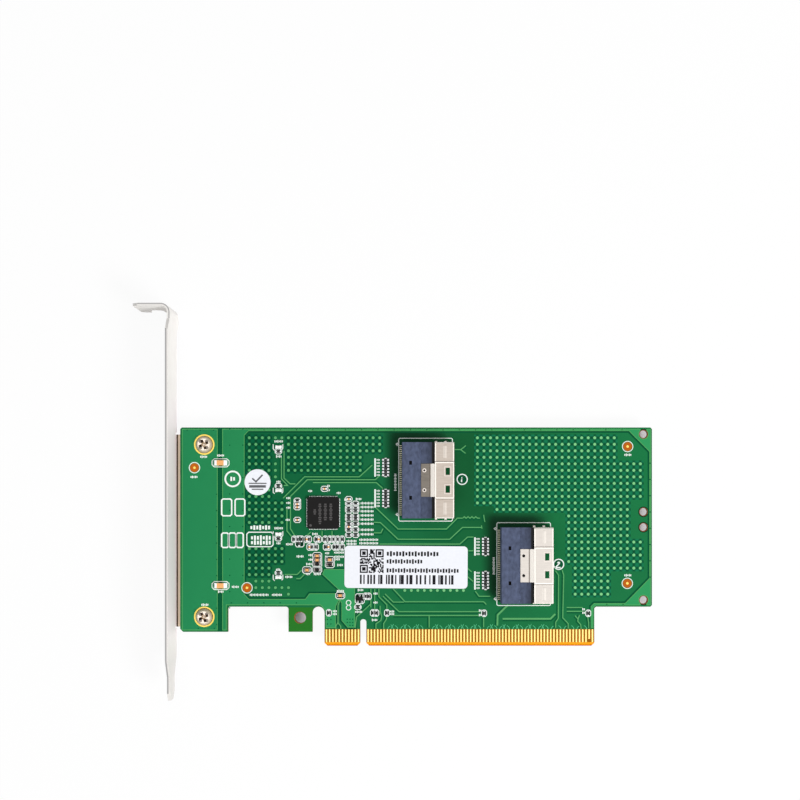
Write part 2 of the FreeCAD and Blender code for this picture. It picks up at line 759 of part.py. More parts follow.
def resistor_places():
    """Small resistors: those that lie along X and those that stand along Y."""
    lying = [(CHIP_RIGHT + c, CHIP_Y + r) for c in RIGHT_COLUMNS for r in RIGHT_ROWS]
    lying.append((CHIP_LEFT - LEFT_COLUMN, CHIP_Y + LEFT_RESISTOR_ROW))
    lying += lamp_places()[1]
    lying.append(EDGE_RESISTOR_ALONG)
    upright = [(CHIP_X + dx, CHIP_BOTTOM - drop) for dx, drop in CORNER_RESISTORS]
    for drop, columns in zip(BELOW_ROWS, BELOW_RESISTORS):
        upright += [(CHIP_X + dx, CHIP_BOTTOM - drop) for dx in columns]
    upright += list(EDGE_RESISTORS)
    beside = TRANSISTOR_X + TRANSISTOR_BODY[0] / 2 + TRANSISTOR_RESISTOR_GAP
    for i in range(2):
        upright.append((beside + i * TRANSISTOR_RESISTOR_PITCH, TRANSISTOR_Y + TRANSISTOR_RESISTOR_RISE))
    return lying, upright


def capacitor_places():
    """Small capacitors: those that lie along X and those that stand along Y."""
    lying = [(CHIP_RIGHT + RIGHT_COLUMNS[0], CHIP_Y + r) for r in RIGHT_CAPACITOR_ROWS]
    lying += [(CHIP_LEFT - LEFT_COLUMN, CHIP_Y + r) for r in LEFT_CAPACITOR_ROWS]
    lying.append((CHIP_X + TOP_CAPACITOR[0], CHIP_TOP + TOP_CAPACITOR[1]))
    upright = []
    for drop, columns in zip(BELOW_ROWS, BELOW_CAPACITORS):
        upright += [(CHIP_X + dx, CHIP_BOTTOM - drop) for dx in columns]
    return lying, upright


def coupling_places():
    """Rows of coupling parts beside the ports."""
    places = []
    for port, groups in zip(PORTS, (COUPLING_PORT_1, COUPLING_PORT_2)):
        for dx, dy in groups:
            for i in range(COUPLING_COUNT):
                step = (i - (COUPLING_COUNT - 1) / 2) * COUPLING_PITCH
                places.append((port[0] + dx, port[1] + dy + step))
    return places


def bridge_places():
    """Bridge capacitors, one near each screw."""
    x = BRIDGE_X - BOARD_LEFT
    return [(x, SCREW_TOP_Y - BRIDGE_TOP_DROP), (x, SCREW_LOW_Y + BRIDGE_LOW_RISE)]


def below_chip(offsets):
    """Places given from the chip's middle and down from its lower side."""
    return [(CHIP_X + dx, CHIP_BOTTOM - drop) for dx, drop in offsets]


def make_transistor():
    """Transistor body and its three leads, one above it and two below."""
    length, width, height = TRANSISTOR_BODY
    out, lead_w, lead_t = TRANSISTOR_LEAD
    level = (FACE + TRANSISTOR_LIFT, FACE + TRANSISTOR_LIFT + height)
    body = block(about(TRANSISTOR_X, length), about(TRANSISTOR_Y, width), level)
    half = width / 2
    shoulder = FACE + TRANSISTOR_LIFT + height / 2
    section = [
        (half, shoulder),
        (half + lead_t, shoulder),
        (half + lead_t, FACE + lead_t),
        (half + out, FACE + lead_t),
        (half + out, FACE),
        (half, FACE),
    ]
    leads = []
    for side, shift in ((1, 0), (-1, TRANSISTOR_LEAD_SPREAD), (-1, -TRANSISTOR_LEAD_SPREAD)):
        corners = [(TRANSISTOR_Y + side * a, b) for a, b in section]
        leads.append(prism(corners, "YZ", *about(TRANSISTOR_X + shift, lead_w)))
    return body, Part.makeCompound(leads)


def make_label():
    """Rectangular label with round corners, stuck on slightly askew."""
    half_w = LABEL_W / 2
    half_h = LABEL_H / 2
    corners = [(-half_w, -half_h), (half_w, -half_h), (half_w, half_h), (-half_w, half_h)]
    label = prism([(a, b, LABEL_CORNER) for a, b in corners], "XY", FACE, FACE + STICKER_T)
    label.rotate(FreeCAD.Vector(), UP, LABEL_TURN)
    label.translate(FreeCAD.Vector(LABEL_X, LABEL_Y, 0))
    return label


def make_round_sticker():
    """Round inspection sticker."""
    x = ROUND_STICKER_INSET - BOARD_LEFT
    y = BOARD_HEIGHT - ROUND_STICKER_DROP
    return rod(x, y, (FACE, FACE + STICKER_T), ROUND_STICKER_D)


def build():
    """All nodes by name."""
    nodes = {
        "board": make_board(),
        "contacts_component_side_short": contact_row(SHORT_FIRST, SHORT_COUNT, 1),
        "contacts_component_side_long": contact_row(LONG_FIRST, LONG_COUNT, 1, LONG_COUNT - 2),
        "contacts_solder_side_short": contact_row(SHORT_FIRST, SHORT_COUNT, -1, 0),
        "contacts_solder_side_long": contact_row(LONG_FIRST, LONG_COUNT, -1),
        "bracket": make_bracket(),
        "bracket_screws": make_screws(),
        "chip_body": make_chip_body(),
        "chip_terminals": make_chip_terminals(),
        "label": make_label(),
        "round_sticker": make_round_sticker(),
    }
    for number, port in enumerate(PORTS, 1):
        nodes["port_%d_housing" % number] = make_housing(port)
        nodes["port_%d_hood" % number] = make_hood(port)
        nodes["port_%d_leads" % number] = make_leads(port)
    sets = {
        "resistor": chip_parts(SMALL_RESISTOR, *resistor_places()),
        "capacitor": chip_parts(SMALL_CAPACITOR, *capacitor_places()),
        "supply_capacitor": chip_parts(SUPPLY_PART, below_chip(SUPPLY_CAPACITORS)),
        "ferrite_bead": chip_parts(SUPPLY_PART, below_chip(FERRITE_BEADS)),
        "coupling": chip_parts(SMALL_RESISTOR, coupling_places()),
        "bridge_capacitor": chip_parts(BRIDGE_PART, bridge_places()),
        "status_lamp": chip_parts(LAMP_PART, lamp_places()[0]),
    }
    for name, (bodies, ends) in sets.items():
        nodes[name + "_bodies"] = bodies
        nodes[name + "_ends"] = ends
    nodes["transistor_body"], nodes["transistor_leads"] = make_transistor()
    return nodes


os.makedirs("parts", exist_ok=True)
for node_name, shape in build().items():
    shape.exportStep("parts/%s.step" % node_name)
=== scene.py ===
import json
import math
import random

import bmesh
import bpy
from bpy.props import FloatProperty, FloatVectorProperty, PointerProperty
from mathutils import Matrix, Vector


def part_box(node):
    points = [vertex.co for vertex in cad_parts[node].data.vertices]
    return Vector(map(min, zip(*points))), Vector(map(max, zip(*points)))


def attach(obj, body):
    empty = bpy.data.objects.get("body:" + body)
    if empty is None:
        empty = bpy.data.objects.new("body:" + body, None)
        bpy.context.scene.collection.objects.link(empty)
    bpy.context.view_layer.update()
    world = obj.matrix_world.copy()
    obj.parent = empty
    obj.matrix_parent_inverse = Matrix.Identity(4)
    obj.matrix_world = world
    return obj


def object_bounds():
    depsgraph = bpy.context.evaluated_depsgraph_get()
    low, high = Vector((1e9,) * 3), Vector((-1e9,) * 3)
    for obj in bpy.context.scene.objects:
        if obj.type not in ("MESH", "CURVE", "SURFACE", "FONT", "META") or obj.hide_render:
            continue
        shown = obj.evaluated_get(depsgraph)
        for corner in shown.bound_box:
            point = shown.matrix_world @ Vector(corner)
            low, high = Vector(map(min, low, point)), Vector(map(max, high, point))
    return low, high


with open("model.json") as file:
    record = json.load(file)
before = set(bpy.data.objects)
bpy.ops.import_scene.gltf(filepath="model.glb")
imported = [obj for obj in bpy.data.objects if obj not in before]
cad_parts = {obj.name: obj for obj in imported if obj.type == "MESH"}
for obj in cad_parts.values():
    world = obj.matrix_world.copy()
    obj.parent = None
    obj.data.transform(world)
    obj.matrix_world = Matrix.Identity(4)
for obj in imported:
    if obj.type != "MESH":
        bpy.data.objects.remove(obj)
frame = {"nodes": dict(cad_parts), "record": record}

# Dresses an adapter card: finishes for its solids, copper pattern, print, solder and small fittings.
# Places are in millimetres from the middle of the key notch on the contact edge, as in the frame.

bl_info = {
    "name": "Adapter card dressing",
    "version": (1, 0, 0),
    "blender": (4, 5, 0),
    "location": "3D View > Sidebar > Adapter card",
    "description": "Finishes, copper pattern, print and small fittings of an adapter card",
    "category": "Object",
}

CAD_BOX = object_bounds()
MM = 0.001
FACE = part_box("board")[1].z
FLOOR = CAD_BOX[0][2]

# Tooling holes at the right end: place along the card, places across it and width
TOOLING_X = 87.45
TOOLING_Y = (14.3, 37.0, 41.8, 66.05)
TOOLING_D = 2.4
TOOLING_HOLES = tuple((TOOLING_X, y, TOOLING_D) for y in TOOLING_Y)
# Drilled holes through which the floor shows: middle and width
OPEN_HOLES = ((-19.75, 8.78, 3.4),) + TOOLING_HOLES
# Bare rim of an open hole, dark mask round a tooling hole, and soft rim of the floor's shadow, partly
# painted, seen through a hole
HOLE_RIM = 0.14
HOLE_RING = 0.45
HOLE_SHADE_RIM = 1.2
# Hook tab: its sides, and its lower and upper end
HOOK_X = (-24.0, -15.5)
HOOK_Y = (4.35, 12.0)
# Floor below the board, with its real shade and a painted shadow: height of the contact tongues, which the
# shadow leaves out, and how softly it fades
BARE_EDGE = 12.9
FLOOR_FADE = 2.5

# Copper pours, as closed outlines
BRACKET_POUR = ((-56.6, 4.85), (-45.5, 4.85), (-45.5, 67.7), (-56.6, 67.7))
GROUND_INNER = (
    (-8.6, 5.6), (-8.6, 12.3), (-7.5, 14.5), (-8.8, 16.35), (-16.8, 16.35), (-18.1, 14.6),
    (-35.7, 14.6), (-37.1, 16.1), (-37.1, 65.7), (-35.8, 67.05), (82.9, 67.05), (89.3, 60.6),
    (89.3, 21.1), (81.7, 13.3), (72.0, 13.3), (71.0, 12.3), (71.0, 5.6),
)
GROUND_OUTER = (
    (71.75, 5.6), (71.75, 11.9), (72.55, 12.65), (TOOLING_X, 12.65), (89.7, 12.65), (89.7, 67.7),
    (TOOLING_X, 67.7), (-44.0, 67.7), (-44.0, 4.85), (-42.7, 4.85), (-42.7, 12.7), (-13.4, 12.7),
    (-11.7, 10.9), (-11.7, 5.6),
)
GROUND_POUR = GROUND_INNER + GROUND_OUTER
SUPPLY_POUR = (
    (-12.2, 23.9), (-12.8, 22.3), (-8.0, 17.8), (-7.6, 17.4), (-7.6, 14.8), (-6.8, 13.3),
    (-6.8, 7.9), (-4.9, 5.7), (-2.6, 5.7), (-2.6, 23.9),
)
GROOVE = ((-45.5, 4.6), (-44.0, 4.6), (-44.0, 68.05), (-45.5, 68.05))
# Corners of the ground pour that a tooling hole notches: the hole's place across the card, border's angle
POUR_HOLES = {(TOOLING_X, 12.65): (TOOLING_Y[0], -90), (TOOLING_X, 67.7): (TOOLING_Y[-1], 90)}
POUR_HOLE_D = 2.9
# Points round such a notch: angle between the border and the first, step and count
NOTCH_START = 40
NOTCH_STEP = 14
NOTCH_POINTS = 21

# Where the mask changes along the card and, above the contact edge, across it: start and end
DEEP_TO_PLAIN = (-32.0, 4.0)
PLAIN_TO_FAR = (12.0, 28.0)
FAR_TO_END = (38.0, 70.0)
LOW_TO_PLAIN = (14.0, 46.0)
LOW_SHARE = 0.85
# The same for the pours and for the dot fields
POUR_DRIFT = (-54.0, -8.0)
FIELD_DRIFT = (-20.0, 44.0)
# Cloudy shares of the mask and of the copper under it, and the mask's gloss
MASK_CLOUD = 0.16
COPPER_CLOUD = 0.14
MASK_SPECULAR = 0.025
# How much rougher a cut edge is than the mask
CUT_ROUGHER = 0.3
# Painted shadow on the mask beside a port: spans from its housing's left side, twice, and from its lower and
# upper side
PORT_SHADE_START = (-6.0, -2.0)
PORT_SHADE_END = (10.0, 17.0)
PORT_SHADE_LOW = (-1.0, 4.0)
PORT_SHADE_HIGH = (3.0, 5.0)
PORT_SHADE_SHARE = 0.97
# Bare contact tongues: ends along the card, upper end, bevel and foot of the bevel
TONGUES = (-13.0, 73.0)
TONGUE_TOP = 5.2
BEVEL_TOP = 1.15
BEVEL_FOOT = 0.35
# Bare patch below the one short contact
SHORT_CONTACT_X = (66.9, 68.4)
SHORT_CONTACT_Y = (BEVEL_TOP, 3.0)
# Bright middle of a contact, as distances from it in shares of the pitch
CONTACT_MIDDLE = (0.08, 0.27)
# A surface is an edge or lies flat where its normal's upright part is below or above these
EDGE_BELOW = 0.4
FLAT_ABOVE = 0.8
# Slack for telling one face from the next
SLACK = 0.1

# Bracket, from the board's left end: gap to its inner face, dark line at its corner, and gaps with painted
# shade, dark and tan
BRACKET_GAP = 1.45
STRIP_LINE = 1.82
SHADED_GAP = 1.4
TAN_GAP = (-1.0, -0.8)
# Outer radius of the bend of the bracket's tab, start of its neck and width of its dark outline
BEND_RADIUS = 2.76
NECK_START = 98.0
OUTLINE_W = 0.34
# Where a warm tint is painted on the bracket beside the board, against the green light that the board throws
# on it, and where its foot turns plain
WARM_LOW = (0.0, 9.0)
WARM_HIGH = (62.0, 80.0)
FOOT_TO_PLAIN = (-4.0, 4.0)

# How far left of the second port its finish starts
PORT_SPLIT = 4.0
# Painted shadow on a port's housing, from its rear face: step of its top, dive under the hood and start of
# its dark part
HOUSING_STEP = (5.7, 6.0)
HOUSING_DIVE = (7.2, 9.3)
HOUSING_DARK = 9.25
# Shares of painted shadow that each of them adds
STEP_SHARE = 0.2
DIVE_SHARE = 0.4
DARK_SHARE = 0.6
# Blind holes in a housing's top, with painted shade inside: span from the rear face and from the middle line
PICK_HOLE_DEPTH = (2.0, 3.5)
PICK_HOLE_ACROSS = (4.8, 6.2)
# Hood of a port, from the rear face: end of its strap, fold with painted shade and edges with painted
# highlights
STRAP_END = 8.7
HOOD_FOLD = (8.5, 8.85)
HOOD_EDGES = ((8.9, 10.1), (10.2, 10.55), (15.8, 16.4))
# Hood, from the middle line: sides with painted highlights and the fold beside them with painted shade
HOOD_SIDES = ((5.3, 5.65), (11.4, 12.5))
SIDE_FOLD = (5.65, 5.8)
# Strips of painted highlight on a hood: span from the rear face and from the middle line
HOOD_STRIP_DEPTH = (12.8, 13.8)
HOOD_STRIP_ACROSS = (6.9, 10.6)
# Shares of the bright colour in the brushed sheet's grain, of painted shade in the folds, and of painted
# highlight on the edges and the strips
BRUSH_SHARE = 0.3
FOLD_SHARE = 0.8
SIDE_FOLD_SHARE = 0.5
EDGE_SHARE = 0.85
STRIP_SHARE = 0.3
# Dimples of a hood's strap: place from its rear end and the middle line, and rim as a share of their width
DIMPLE_BACK = 1.0
DIMPLE_OUT = 3.05
DIMPLE_RIM = 0.22
# Dark discs of painted shade in the dimples of each port, as shares of a dimple's width
PIT_SHARES = {1: 0.56, 2: 0.8}
# Latch windows: span from the hood's mouth, place from the middle line, half width, and gap to their rim
WINDOW_SPAN = (-2.6, -1.3)
WINDOW_OUT = 2.75
WINDOW_HALF = 1.1
WINDOW_GAP = 0.22
# Card slot of a port: middle above the board, half height, and thickness, count and inset of its contacts
SLOT_LIFT = 2.9
SLOT_HALF = 0.65
SLOT_CONTACT_T = 0.12
SLOT_CONTACTS = 30
SLOT_INSET = 0.6

# Dot fields: place of the first dot, and first and last column and first and last row of each field
DOT_FIRST = (-35.57, 64.93)
DOT_FIELDS = (
    (0, 3, 0, 9), (4, 5, 0, 0), (4, 4, 4, 6), (0, 5, 10, 13), (0, 5, 17, 19), (0, 3, 20, 21),
    (1, 3, 22, 22), (1, 6, 23, 23), (6, 6, 24, 24), (6, 20, 0, 2), (6, 17, 3, 5),
    (35, 56, 0, 3), (35, 60, 4, 9), (35, 58, 10, 10), (38, 58, 11, 11), (49, 58, 12, 15),
    (49, 60, 16, 19), (50, 60, 20, 20), (50, 55, 21, 24),
)
# Single row of dots: first place and count
DOT_ROW_FIRST = (12.95, 17.3)
DOT_ROW_COUNT = 10
# A dot's top, unlike its sloping sides, has a normal whose upright part is above this
DOT_TOP_ABOVE = 0.999
# Fewest dots of a field with a mask of its own, and how the mask deepens between two dots
FIELD_LEAST = 8
BETWEEN_DOTS = (-0.4, 0.9)
DEEP_SHARE = 0.85

# Traces under the mask
LAMP_TRACES = (
    ((-25.4, 58.9), (-25.4, 52.2), (-23.3, 49.9), (-24.8, 49.9)),
    ((-24.6, 60.8), (-24.6, 52.4), (-22.8, 50.7), (-21.2, 50.7)),
    ((-24.5, 22.4), (-20.7, 22.4), (-19.4, 23.7)),
    ((-20.9, 21.1), (-19.8, 21.1), (-18.0, 22.9)),
)
CHIP_TRACES = (
    ((5.3, 53.1), (3.8, 51.7), (-17.4, 51.7), (-23.3, 45.9)),
    ((2.9, 56.3), (-1.2, 52.6), (-18.3, 52.6), (-24.9, 46.0)),
    ((6.0, 49.0), (4.0, 50.8), (-15.7, 50.8)),
    ((-22.6, 46.0), (-22.6, 36.6), (-21.2, 34.3)),
    ((-23.7, 42.7), (-23.7, 35.9), (-22.0, 33.9)),
    ((-5.2, 35.2), (-5.2, 37.6), (-6.0, 38.4)),
    ((-5.4, 42.2), (-5.4, 43.6), (-3.9, 45.0)),
    ((-17.6, 34.6), (-16.5, 35.6)), ((-13.0, 34.3), (-13.0, 35.8)), ((-9.9, 34.3), (-9.9, 35.8)),
)
PORT_TRACES = (
    ((4.0, 43.2), (10.9, 36.6), (25.9, 36.6), (29.3, 40.0), (31.0, 40.0)),
    ((3.3, 38.7), (5.4, 38.6), (10.9, 33.4), (26.9, 33.4), (30.9, 37.1), (36.8, 37.1)),
    ((3.3, 35.4), (5.4, 35.4), (6.0, 36.6)),
    ((5.1, 31.9), (30.1, 31.9), (32.5, 34.1), (34.4, 34.1)),
    ((32.8, 29.8), (34.4, 29.8)), ((32.6, 24.3), (33.9, 23.2)), ((32.6, 21.7), (34.4, 20.2)),
    ((35.1, 17.1), (36.2, 15.6), (39.6, 15.6)),
    ((28.4, 61.4), (30.4, 61.4), (31.9, 62.6)), ((30.4, 61.4), (32.0, 60.2)),
    ((31.0, 40.0), (31.5, 40.5), (32.1, 40.0), (32.7, 40.5), (33.3, 40.0), (33.9, 40.5),
     (34.5, 40.0), (35.1, 40.5), (35.7, 40.0), (36.4, 40.0)),
    ((37.7, 40.9), (37.9, 39.6), (38.1, 38.7)), ((37.0, 37.6), (37.2, 36.6)),
)
EDGE_TRACES = (
    ((9.4, 17.9), (13.1, 13.9), (37.6, 13.9), (38.5, 13.0)),
    ((6.9, 16.3), (9.4, 13.8), (12.7, 13.8)),
    ((6.2, 15.6), (11.2, 10.8), (36.1, 10.8)),
    ((9.4, 9.6), (36.1, 9.6)), ((20.7, 9.6), (20.7, 5.7)), ((37.7, 8.7), (37.7, 5.8)),
    ((2.5, 17.8), (2.5, 12.0)), ((3.7, 17.8), (3.7, 11.5)),
    ((5.0, 17.8), (5.0, 15.4), (7.5, 12.9), (7.5, 11.4)),
    ((7.4, 9.2), (7.4, 8.3), (6.5, 6.9), (6.5, 5.3)),
    ((5.4, 12.5), (5.4, 10.8), (5.9, 9.2), (5.6, 7.8), (4.1, 6.8), (4.1, 5.3)),
    ((2.6, 13.1), (-2.0, 8.9), (-2.4, 5.6)),
    ((60.1, 23.5), (61.1, 22.1), (61.0, 8.5), (60.2, 7.3), (60.2, 5.6)),
    ((62.2, 23.7), (62.7, 22.1), (62.4, 8.8), (64.1, 7.0), (64.1, 5.4)),
    ((63.5, 12.1), (68.5, 12.1)), ((63.5, 10.9), (68.5, 10.9)),
    ((66.2, 9.5), (67.2, 8.4), (67.1, 7.7), (68.0, 6.7), (68.15, 5.3)), ((67.6, 9.5), (67.2, 8.4)),
    ((70.2, 9.0), (70.5, 7.2), (70.5, 5.6)),
    ((-7.1, 14.4), (-7.75, 12.6), (-7.75, 7.2), (-8.4, 6.2), (-8.4, 5.3)),
    ((-7.75, 7.2), (-6.9, 6.2), (-6.9, 5.3)),
)
# Pairs of lines drawn as one broad line
BROAD_TRACES = (
    ((43.5, 8.7), (58.3, 8.7), (59.7, 10.1)), ((45.4, 12.6), (42.2, 9.5), (42.1, 6.3)),
)
# Loops above the contacts: a pair of arcs, most of them with a cross between
LOOP_MIDDLES = (9.1, 13.1, 17.0, 23.0, 27.0, 31.0, 35.0, 40.1, 44.0, 48.1, 52.1, 56.1)
OPEN_LOOP_MIDDLES = (60.1, 64.1, 68.1)
LOOP_SIDE = ((1.55, 5.1), (1.45, 5.6), (1.15, 6.0), (0.75, 6.25))
LOOP_CROSS = ((0.42, 6.7), (0.05, 6.05), (0.32, 5.3))

# Via rows: first place, step and count
VIA_ROWS = (
    ((-45.8, 47.3), (0.0, -5.08), 9), ((-41.7, 67.7), (0.0, -5.08), 12), ((-37.6, 67.7), (0.0, -5.08), 11),
    ((-41.2, 13.4), (5.08, 0.0), 5), ((-31.0, 67.4), (5.08, 0.0), 23), ((89.5, 57.0), (0.0, -5.08), 8),
    ((76.0, 12.95), (5.08, 0.0), 2), ((-55.0, 67.3), (4.1, 0.0), 3), ((-51.5, 5.4), (5.0, 0.0), 2),
    ((-5.0, 8.3), (0.85, 0.0), 3), ((-5.0, 7.3), (0.85, 0.0), 3), ((-4.15, 6.35), (0.85, 0.0), 2),
    ((-11.2, 8.2), (1.1, 0.0), 2), ((-11.2, 6.8), (1.1, 0.0), 2),
)

# Camera targets and screws
TARGETS = ((-52.7, 55.6), (-36.3, 18.1), (82.5, 62.2), (82.4, 19.5))
SCREWS = ((-49.65, 9.05), (-49.65, 62.8))
# Bare radius inside a screw's gold ring
SCREW_RING_INNER = 1.65
# Height of a target's dot and of the ring of painted shadow round a screw's head, as shares of the print's
# height
DOT_RISE = 1.6
SHADOW_RING_RISE = 1.4
# Where the painted shade on the rim of a screw head starts and is full, and how much of it shows
HEAD_RIM = (1.8, 2.5)
HEAD_RIM_SHARE = 0.8
# Cross of a screw: inner and outer radius, and place along both axes, radius and share of the painted shade
# on its lead-ins
RECESS_R = (0.3, 1.75)
RECESS_LOBE = 0.96
RECESS_LOBE_R = 0.56
RECESS_LOBE_SHARE = 0.8

# Printed outline of a port: reach from its housing's left side, twice, and from its lower and upper side
PORT_LEFT = -1.1
PORT_RIGHT = 15.9
PORT_LOW = -1.1
PORT_HIGH = 1.5
# Cut of the outline's corners, and how far its open side returns
PORT_CUT = 0.4
PORT_RETURN = 1.4
# Diamonds on the outline: places from its lower and upper end, and corners
DIAMOND_LOW = 2.2
DIAMOND_HIGH = -2.0
DIAMOND = ((-0.9, 0.0), (-0.3, 0.55), (0.1, 0.0), (-0.3, -0.55))
# Numbers of the ports, with the widths of their ring and of their figure in printed lines
PORT_NUMBERS = ((30.86, 51.95), (60.97, 25.43))
FIGURE_ONE = ((-0.35, 0.45), (0.0, 0.85), (0.0, -0.85))
FIGURE_TWO = ((-0.5, 0.45), (-0.3, 0.75), (0.1, 0.85), (0.45, 0.6), (0.4, 0.2), (-0.55, -0.8), (0.6, -0.8))
NUMBER_RING_LINE = 1.4
FIGURE_LINE = 1.6

# Heights of the ticks in a row, as shares, and the step through them
TICK_HEIGHTS = (1.0, 0.72, 0.9, 0.6)
TICK_STEP = 3
# Rows of printed ticks: left end, middle height and count
TICK_LABELS = (
    (-51.0, 59.0, 5), (-54.0, 52.7, 5), (-50.6, 12.8, 5), (-45.7, 59.4, 5), (-45.4, 16.9, 4),
    (-41.1, 18.4, 5), (81.4, 59.6, 5), (81.4, 22.0, 5), (-35.5, 15.9, 13), (-28.6, 15.9, 7),
    (-27.8, 63.8, 6), (-27.3, 59.1, 4), (-27.2, 51.2, 3), (-27.8, 36.7, 6), (-27.2, 32.0, 3),
    (-27.3, 23.8, 3), (-24.4, 21.5, 5), (-24.2, 31.7, 5), (-20.9, 27.9, 5), (-24.1, 46.1, 3),
    (-24.1, 44.6, 3), (-24.1, 43.1, 3), (-24.3, 39.3, 3), (-11.3, 49.9, 2), (-11.3, 48.6, 2),
    (-16.0, 34.9, 4), (-2.4, 45.8, 4), (-0.9, 44.5, 9), (-0.9, 43.3, 9), (-0.9, 42.0, 9),
    (-0.9, 40.7, 9), (-0.9, 39.4, 9), (-0.9, 38.1, 9), (-0.9, 36.2, 9), (-0.9, 34.8, 9),
    (-5.3, 32.7, 7), (-5.3, 31.8, 7), (-1.3, 33.1, 13), (-1.3, 32.0, 13),
    (-17.2, 28.3, 3), (-17.2, 26.9, 3), (-17.9, 25.5, 4), (-9.1, 27.0, 4), (-8.2, 25.2, 4),
    (-18.0, 22.4, 3), (-15.5, 22.4, 5), (-12.0, 28.9, 3), (-9.2, 29.1, 7), (-12.0, 27.8, 2),
    (-9.2, 27.8, 7), (-8.3, 17.1, 5), (-1.8, 17.4, 4), (3.1, 16.3, 3), (3.1, 13.5, 3),
    (-9.6, 10.8, 3), (-9.6, 9.9, 3), (-2.6, 10.6, 5), (2.6, 8.05, 4), (8.3, 10.7, 3),
    (8.3, 9.9, 3), (36.0, 11.0, 2), (36.0, 9.6, 2), (68.3, 11.4, 2), (68.3, 10.3, 2),
    (-6.0, 45.6, 2), (-17.3, 48.3, 3), (-8.4, 47.7, 3),
)
# Upright rows of ticks beside the ports: lower end, middle and count
UPRIGHT_TICKS = ((10.0, 48.3, 12), (40.7, 22.2, 12))
# Plain shapes printed on the ground pour: open boxes, cells and a framed pair of bars
PLAIN_RING = (-40.75, 52.1, 5.2)
PLAIN_BOXES = ((-44.0, 40.8, -41.3, 45.6), (-39.8, 40.8, -37.2, 45.6), (-44.0, 30.9, -42.3, 35.0),
               (-41.7, 30.9, -40.0, 35.0), (-39.4, 30.9, -37.7, 35.0))
PLAIN_FRAME = (-36.2, 31.1, -28.3, 35.3)
BIG_TICKS = ((-35.4, 36.9, 7), (-35.2, 33.7, 7), (-35.2, 32.2, 7))
# Widths of the ring, boxes and frame in printed lines, cuts of their corners, and the bigger ticks
PLAIN_RING_LINE = 2.2
PLAIN_BOX_LINE = 1.8
PLAIN_FRAME_LINE = 1.3
PLAIN_BOX_CUT = 0.3
PLAIN_FRAME_CUT = 0.5
RING_TICKS = (-0.9, 2, 1.9)
BIG_TICK_SCALE = 2.0

# Square code, from the label's middle: left and lower end, step of its cells and width of their ink
CODE_LEFT = -14.4
CODE_LOW = -1.85
CODE_CELL = 0.35
CODE_INK = 0.43
# Cells along a side of the code, and lowest left cell and half width of its corner squares
CODE_SIDE = 21
CODE_CORNERS = ((0, 0), (0, 14), (14, 14))
CODE_CORNER_HALF = 3
# Share of dark cells outside the corners, and seed of all that is drawn by chance
CODE_SHARE = 0.48
DRAW_SEED = 7
# Bar code on the label: left, right, lower and upper end, and the widths and gaps to draw from
BAR_STRIP = (-14.1, 14.6, -5.35, -2.45)
BAR_WIDTHS = (0.4, 0.55, 0.75, 0.95)
BAR_GAPS = (0.35, 0.45, 0.6, 0.9)
# Rows of ticks on the label: left end, height, count and scale; turn of the whole print in degrees
LABEL_LINES = ((-6.2, 4.15, 17, 2.1), (-6.2, 1.75, 13, 1.9), (-6.2, -1.05, 26, 1.9))
LABEL_TURN = -0.4
# Print of the sticker, from its middle: check mark, its width in printed lines, and place and size of bars
STICKER_CHECK = ((-1.5, 1.4), (-0.5, 0.5), (1.4, 2.5))
STICKER_CHECK_LINE = 2.0
STICKER_BARS = ((-0.35, 5.6, 0.35), (-1.3, 5.2, 0.8), (-2.2, 3.6, 0.35))
# Print of the chip, from its middle: rows of upright ticks, their scale, and the dot with its width
CHIP_ROWS = ((-2.6, -0.6, 3), (-1.0, -3.6, 11), (0.7, -2.4, 9), (2.4, -2.4, 9))
CHIP_TICK_SCALE = 1.3
CHIP_DOT = (-3.9, -3.9, 0.8)

# Solder round the ends: node, its bodies, spread along and across the part
SOLDER = (
    ("resistor_ends", "resistor_bodies", 0.4, 0.08), ("capacitor_ends", "capacitor_bodies", 0.25, 0.08),
    ("supply_capacitor_ends", "supply_capacitor_bodies", 0.3, 0.12),
    ("ferrite_bead_ends", "ferrite_bead_bodies", 0.3, 0.12),
    ("coupling_ends", "coupling_bodies", 0.66, 0.1),
    ("bridge_capacitor_ends", "bridge_capacitor_bodies", 0.52, 0.1),
    ("status_lamp_ends", "status_lamp_bodies", 0.25, 0.1),
    ("transistor_leads", "transistor_body", 0.2, 0.15),
)
# Width of the solder's top, as a share of its foot
SOLDER_TOP = 0.72
# Parts with a printed outline: nodes and the gap between a part and its outline
OUTLINED = (
    (("resistor_bodies", "resistor_ends"), 0.42), (("capacitor_bodies", "capacitor_ends"), 0.42),
    (("supply_capacitor_bodies", "supply_capacitor_ends"), 0.5),
    (("ferrite_bead_bodies", "ferrite_bead_ends"), 0.5), (("transistor_body", "transistor_leads"), 0.3),
)
# Gap below which neighbours share an outline, and cut of the outlines' corners
NEIGHBOURS = 0.35
OUTLINE_CUT = 0.4
# Rows of coupling parts: gap within a row, reach of the painted shadow round a row along and across, and cut
# of its corners
COUPLING_GAP = 1.0
COUPLING_REACH = (0.7, 0.3)
COUPLING_CUT = 0.1
# Print of the coupling parts: step and size of the bars between them, place and size of the outer bars, and
# place, count and scale of the ticks
COUPLING_STEP = 0.95
COUPLING_BAR = (0.7, 0.26)
COUPLING_OUTER = -3.3
COUPLING_OUTER_BAR = (0.5, 0.95)
COUPLING_TICKS = (-2.9, 3, 0.8)
# Printed hook beside a status lamp, and half width, half height and corner cut of a bridge capacitor's frame
LAMP_HOOK = ((1.5, 0.85), (1.5, -0.5), (1.1, -0.95))
BRIDGE_FRAME = (2.55, 1.15, 0.6)
# Plain rings printed on the supply pour: middle and outer width
SUPPLY_RINGS = ((-4.6, 13.45, 1.7), (-4.6, 11.9, 1.7))

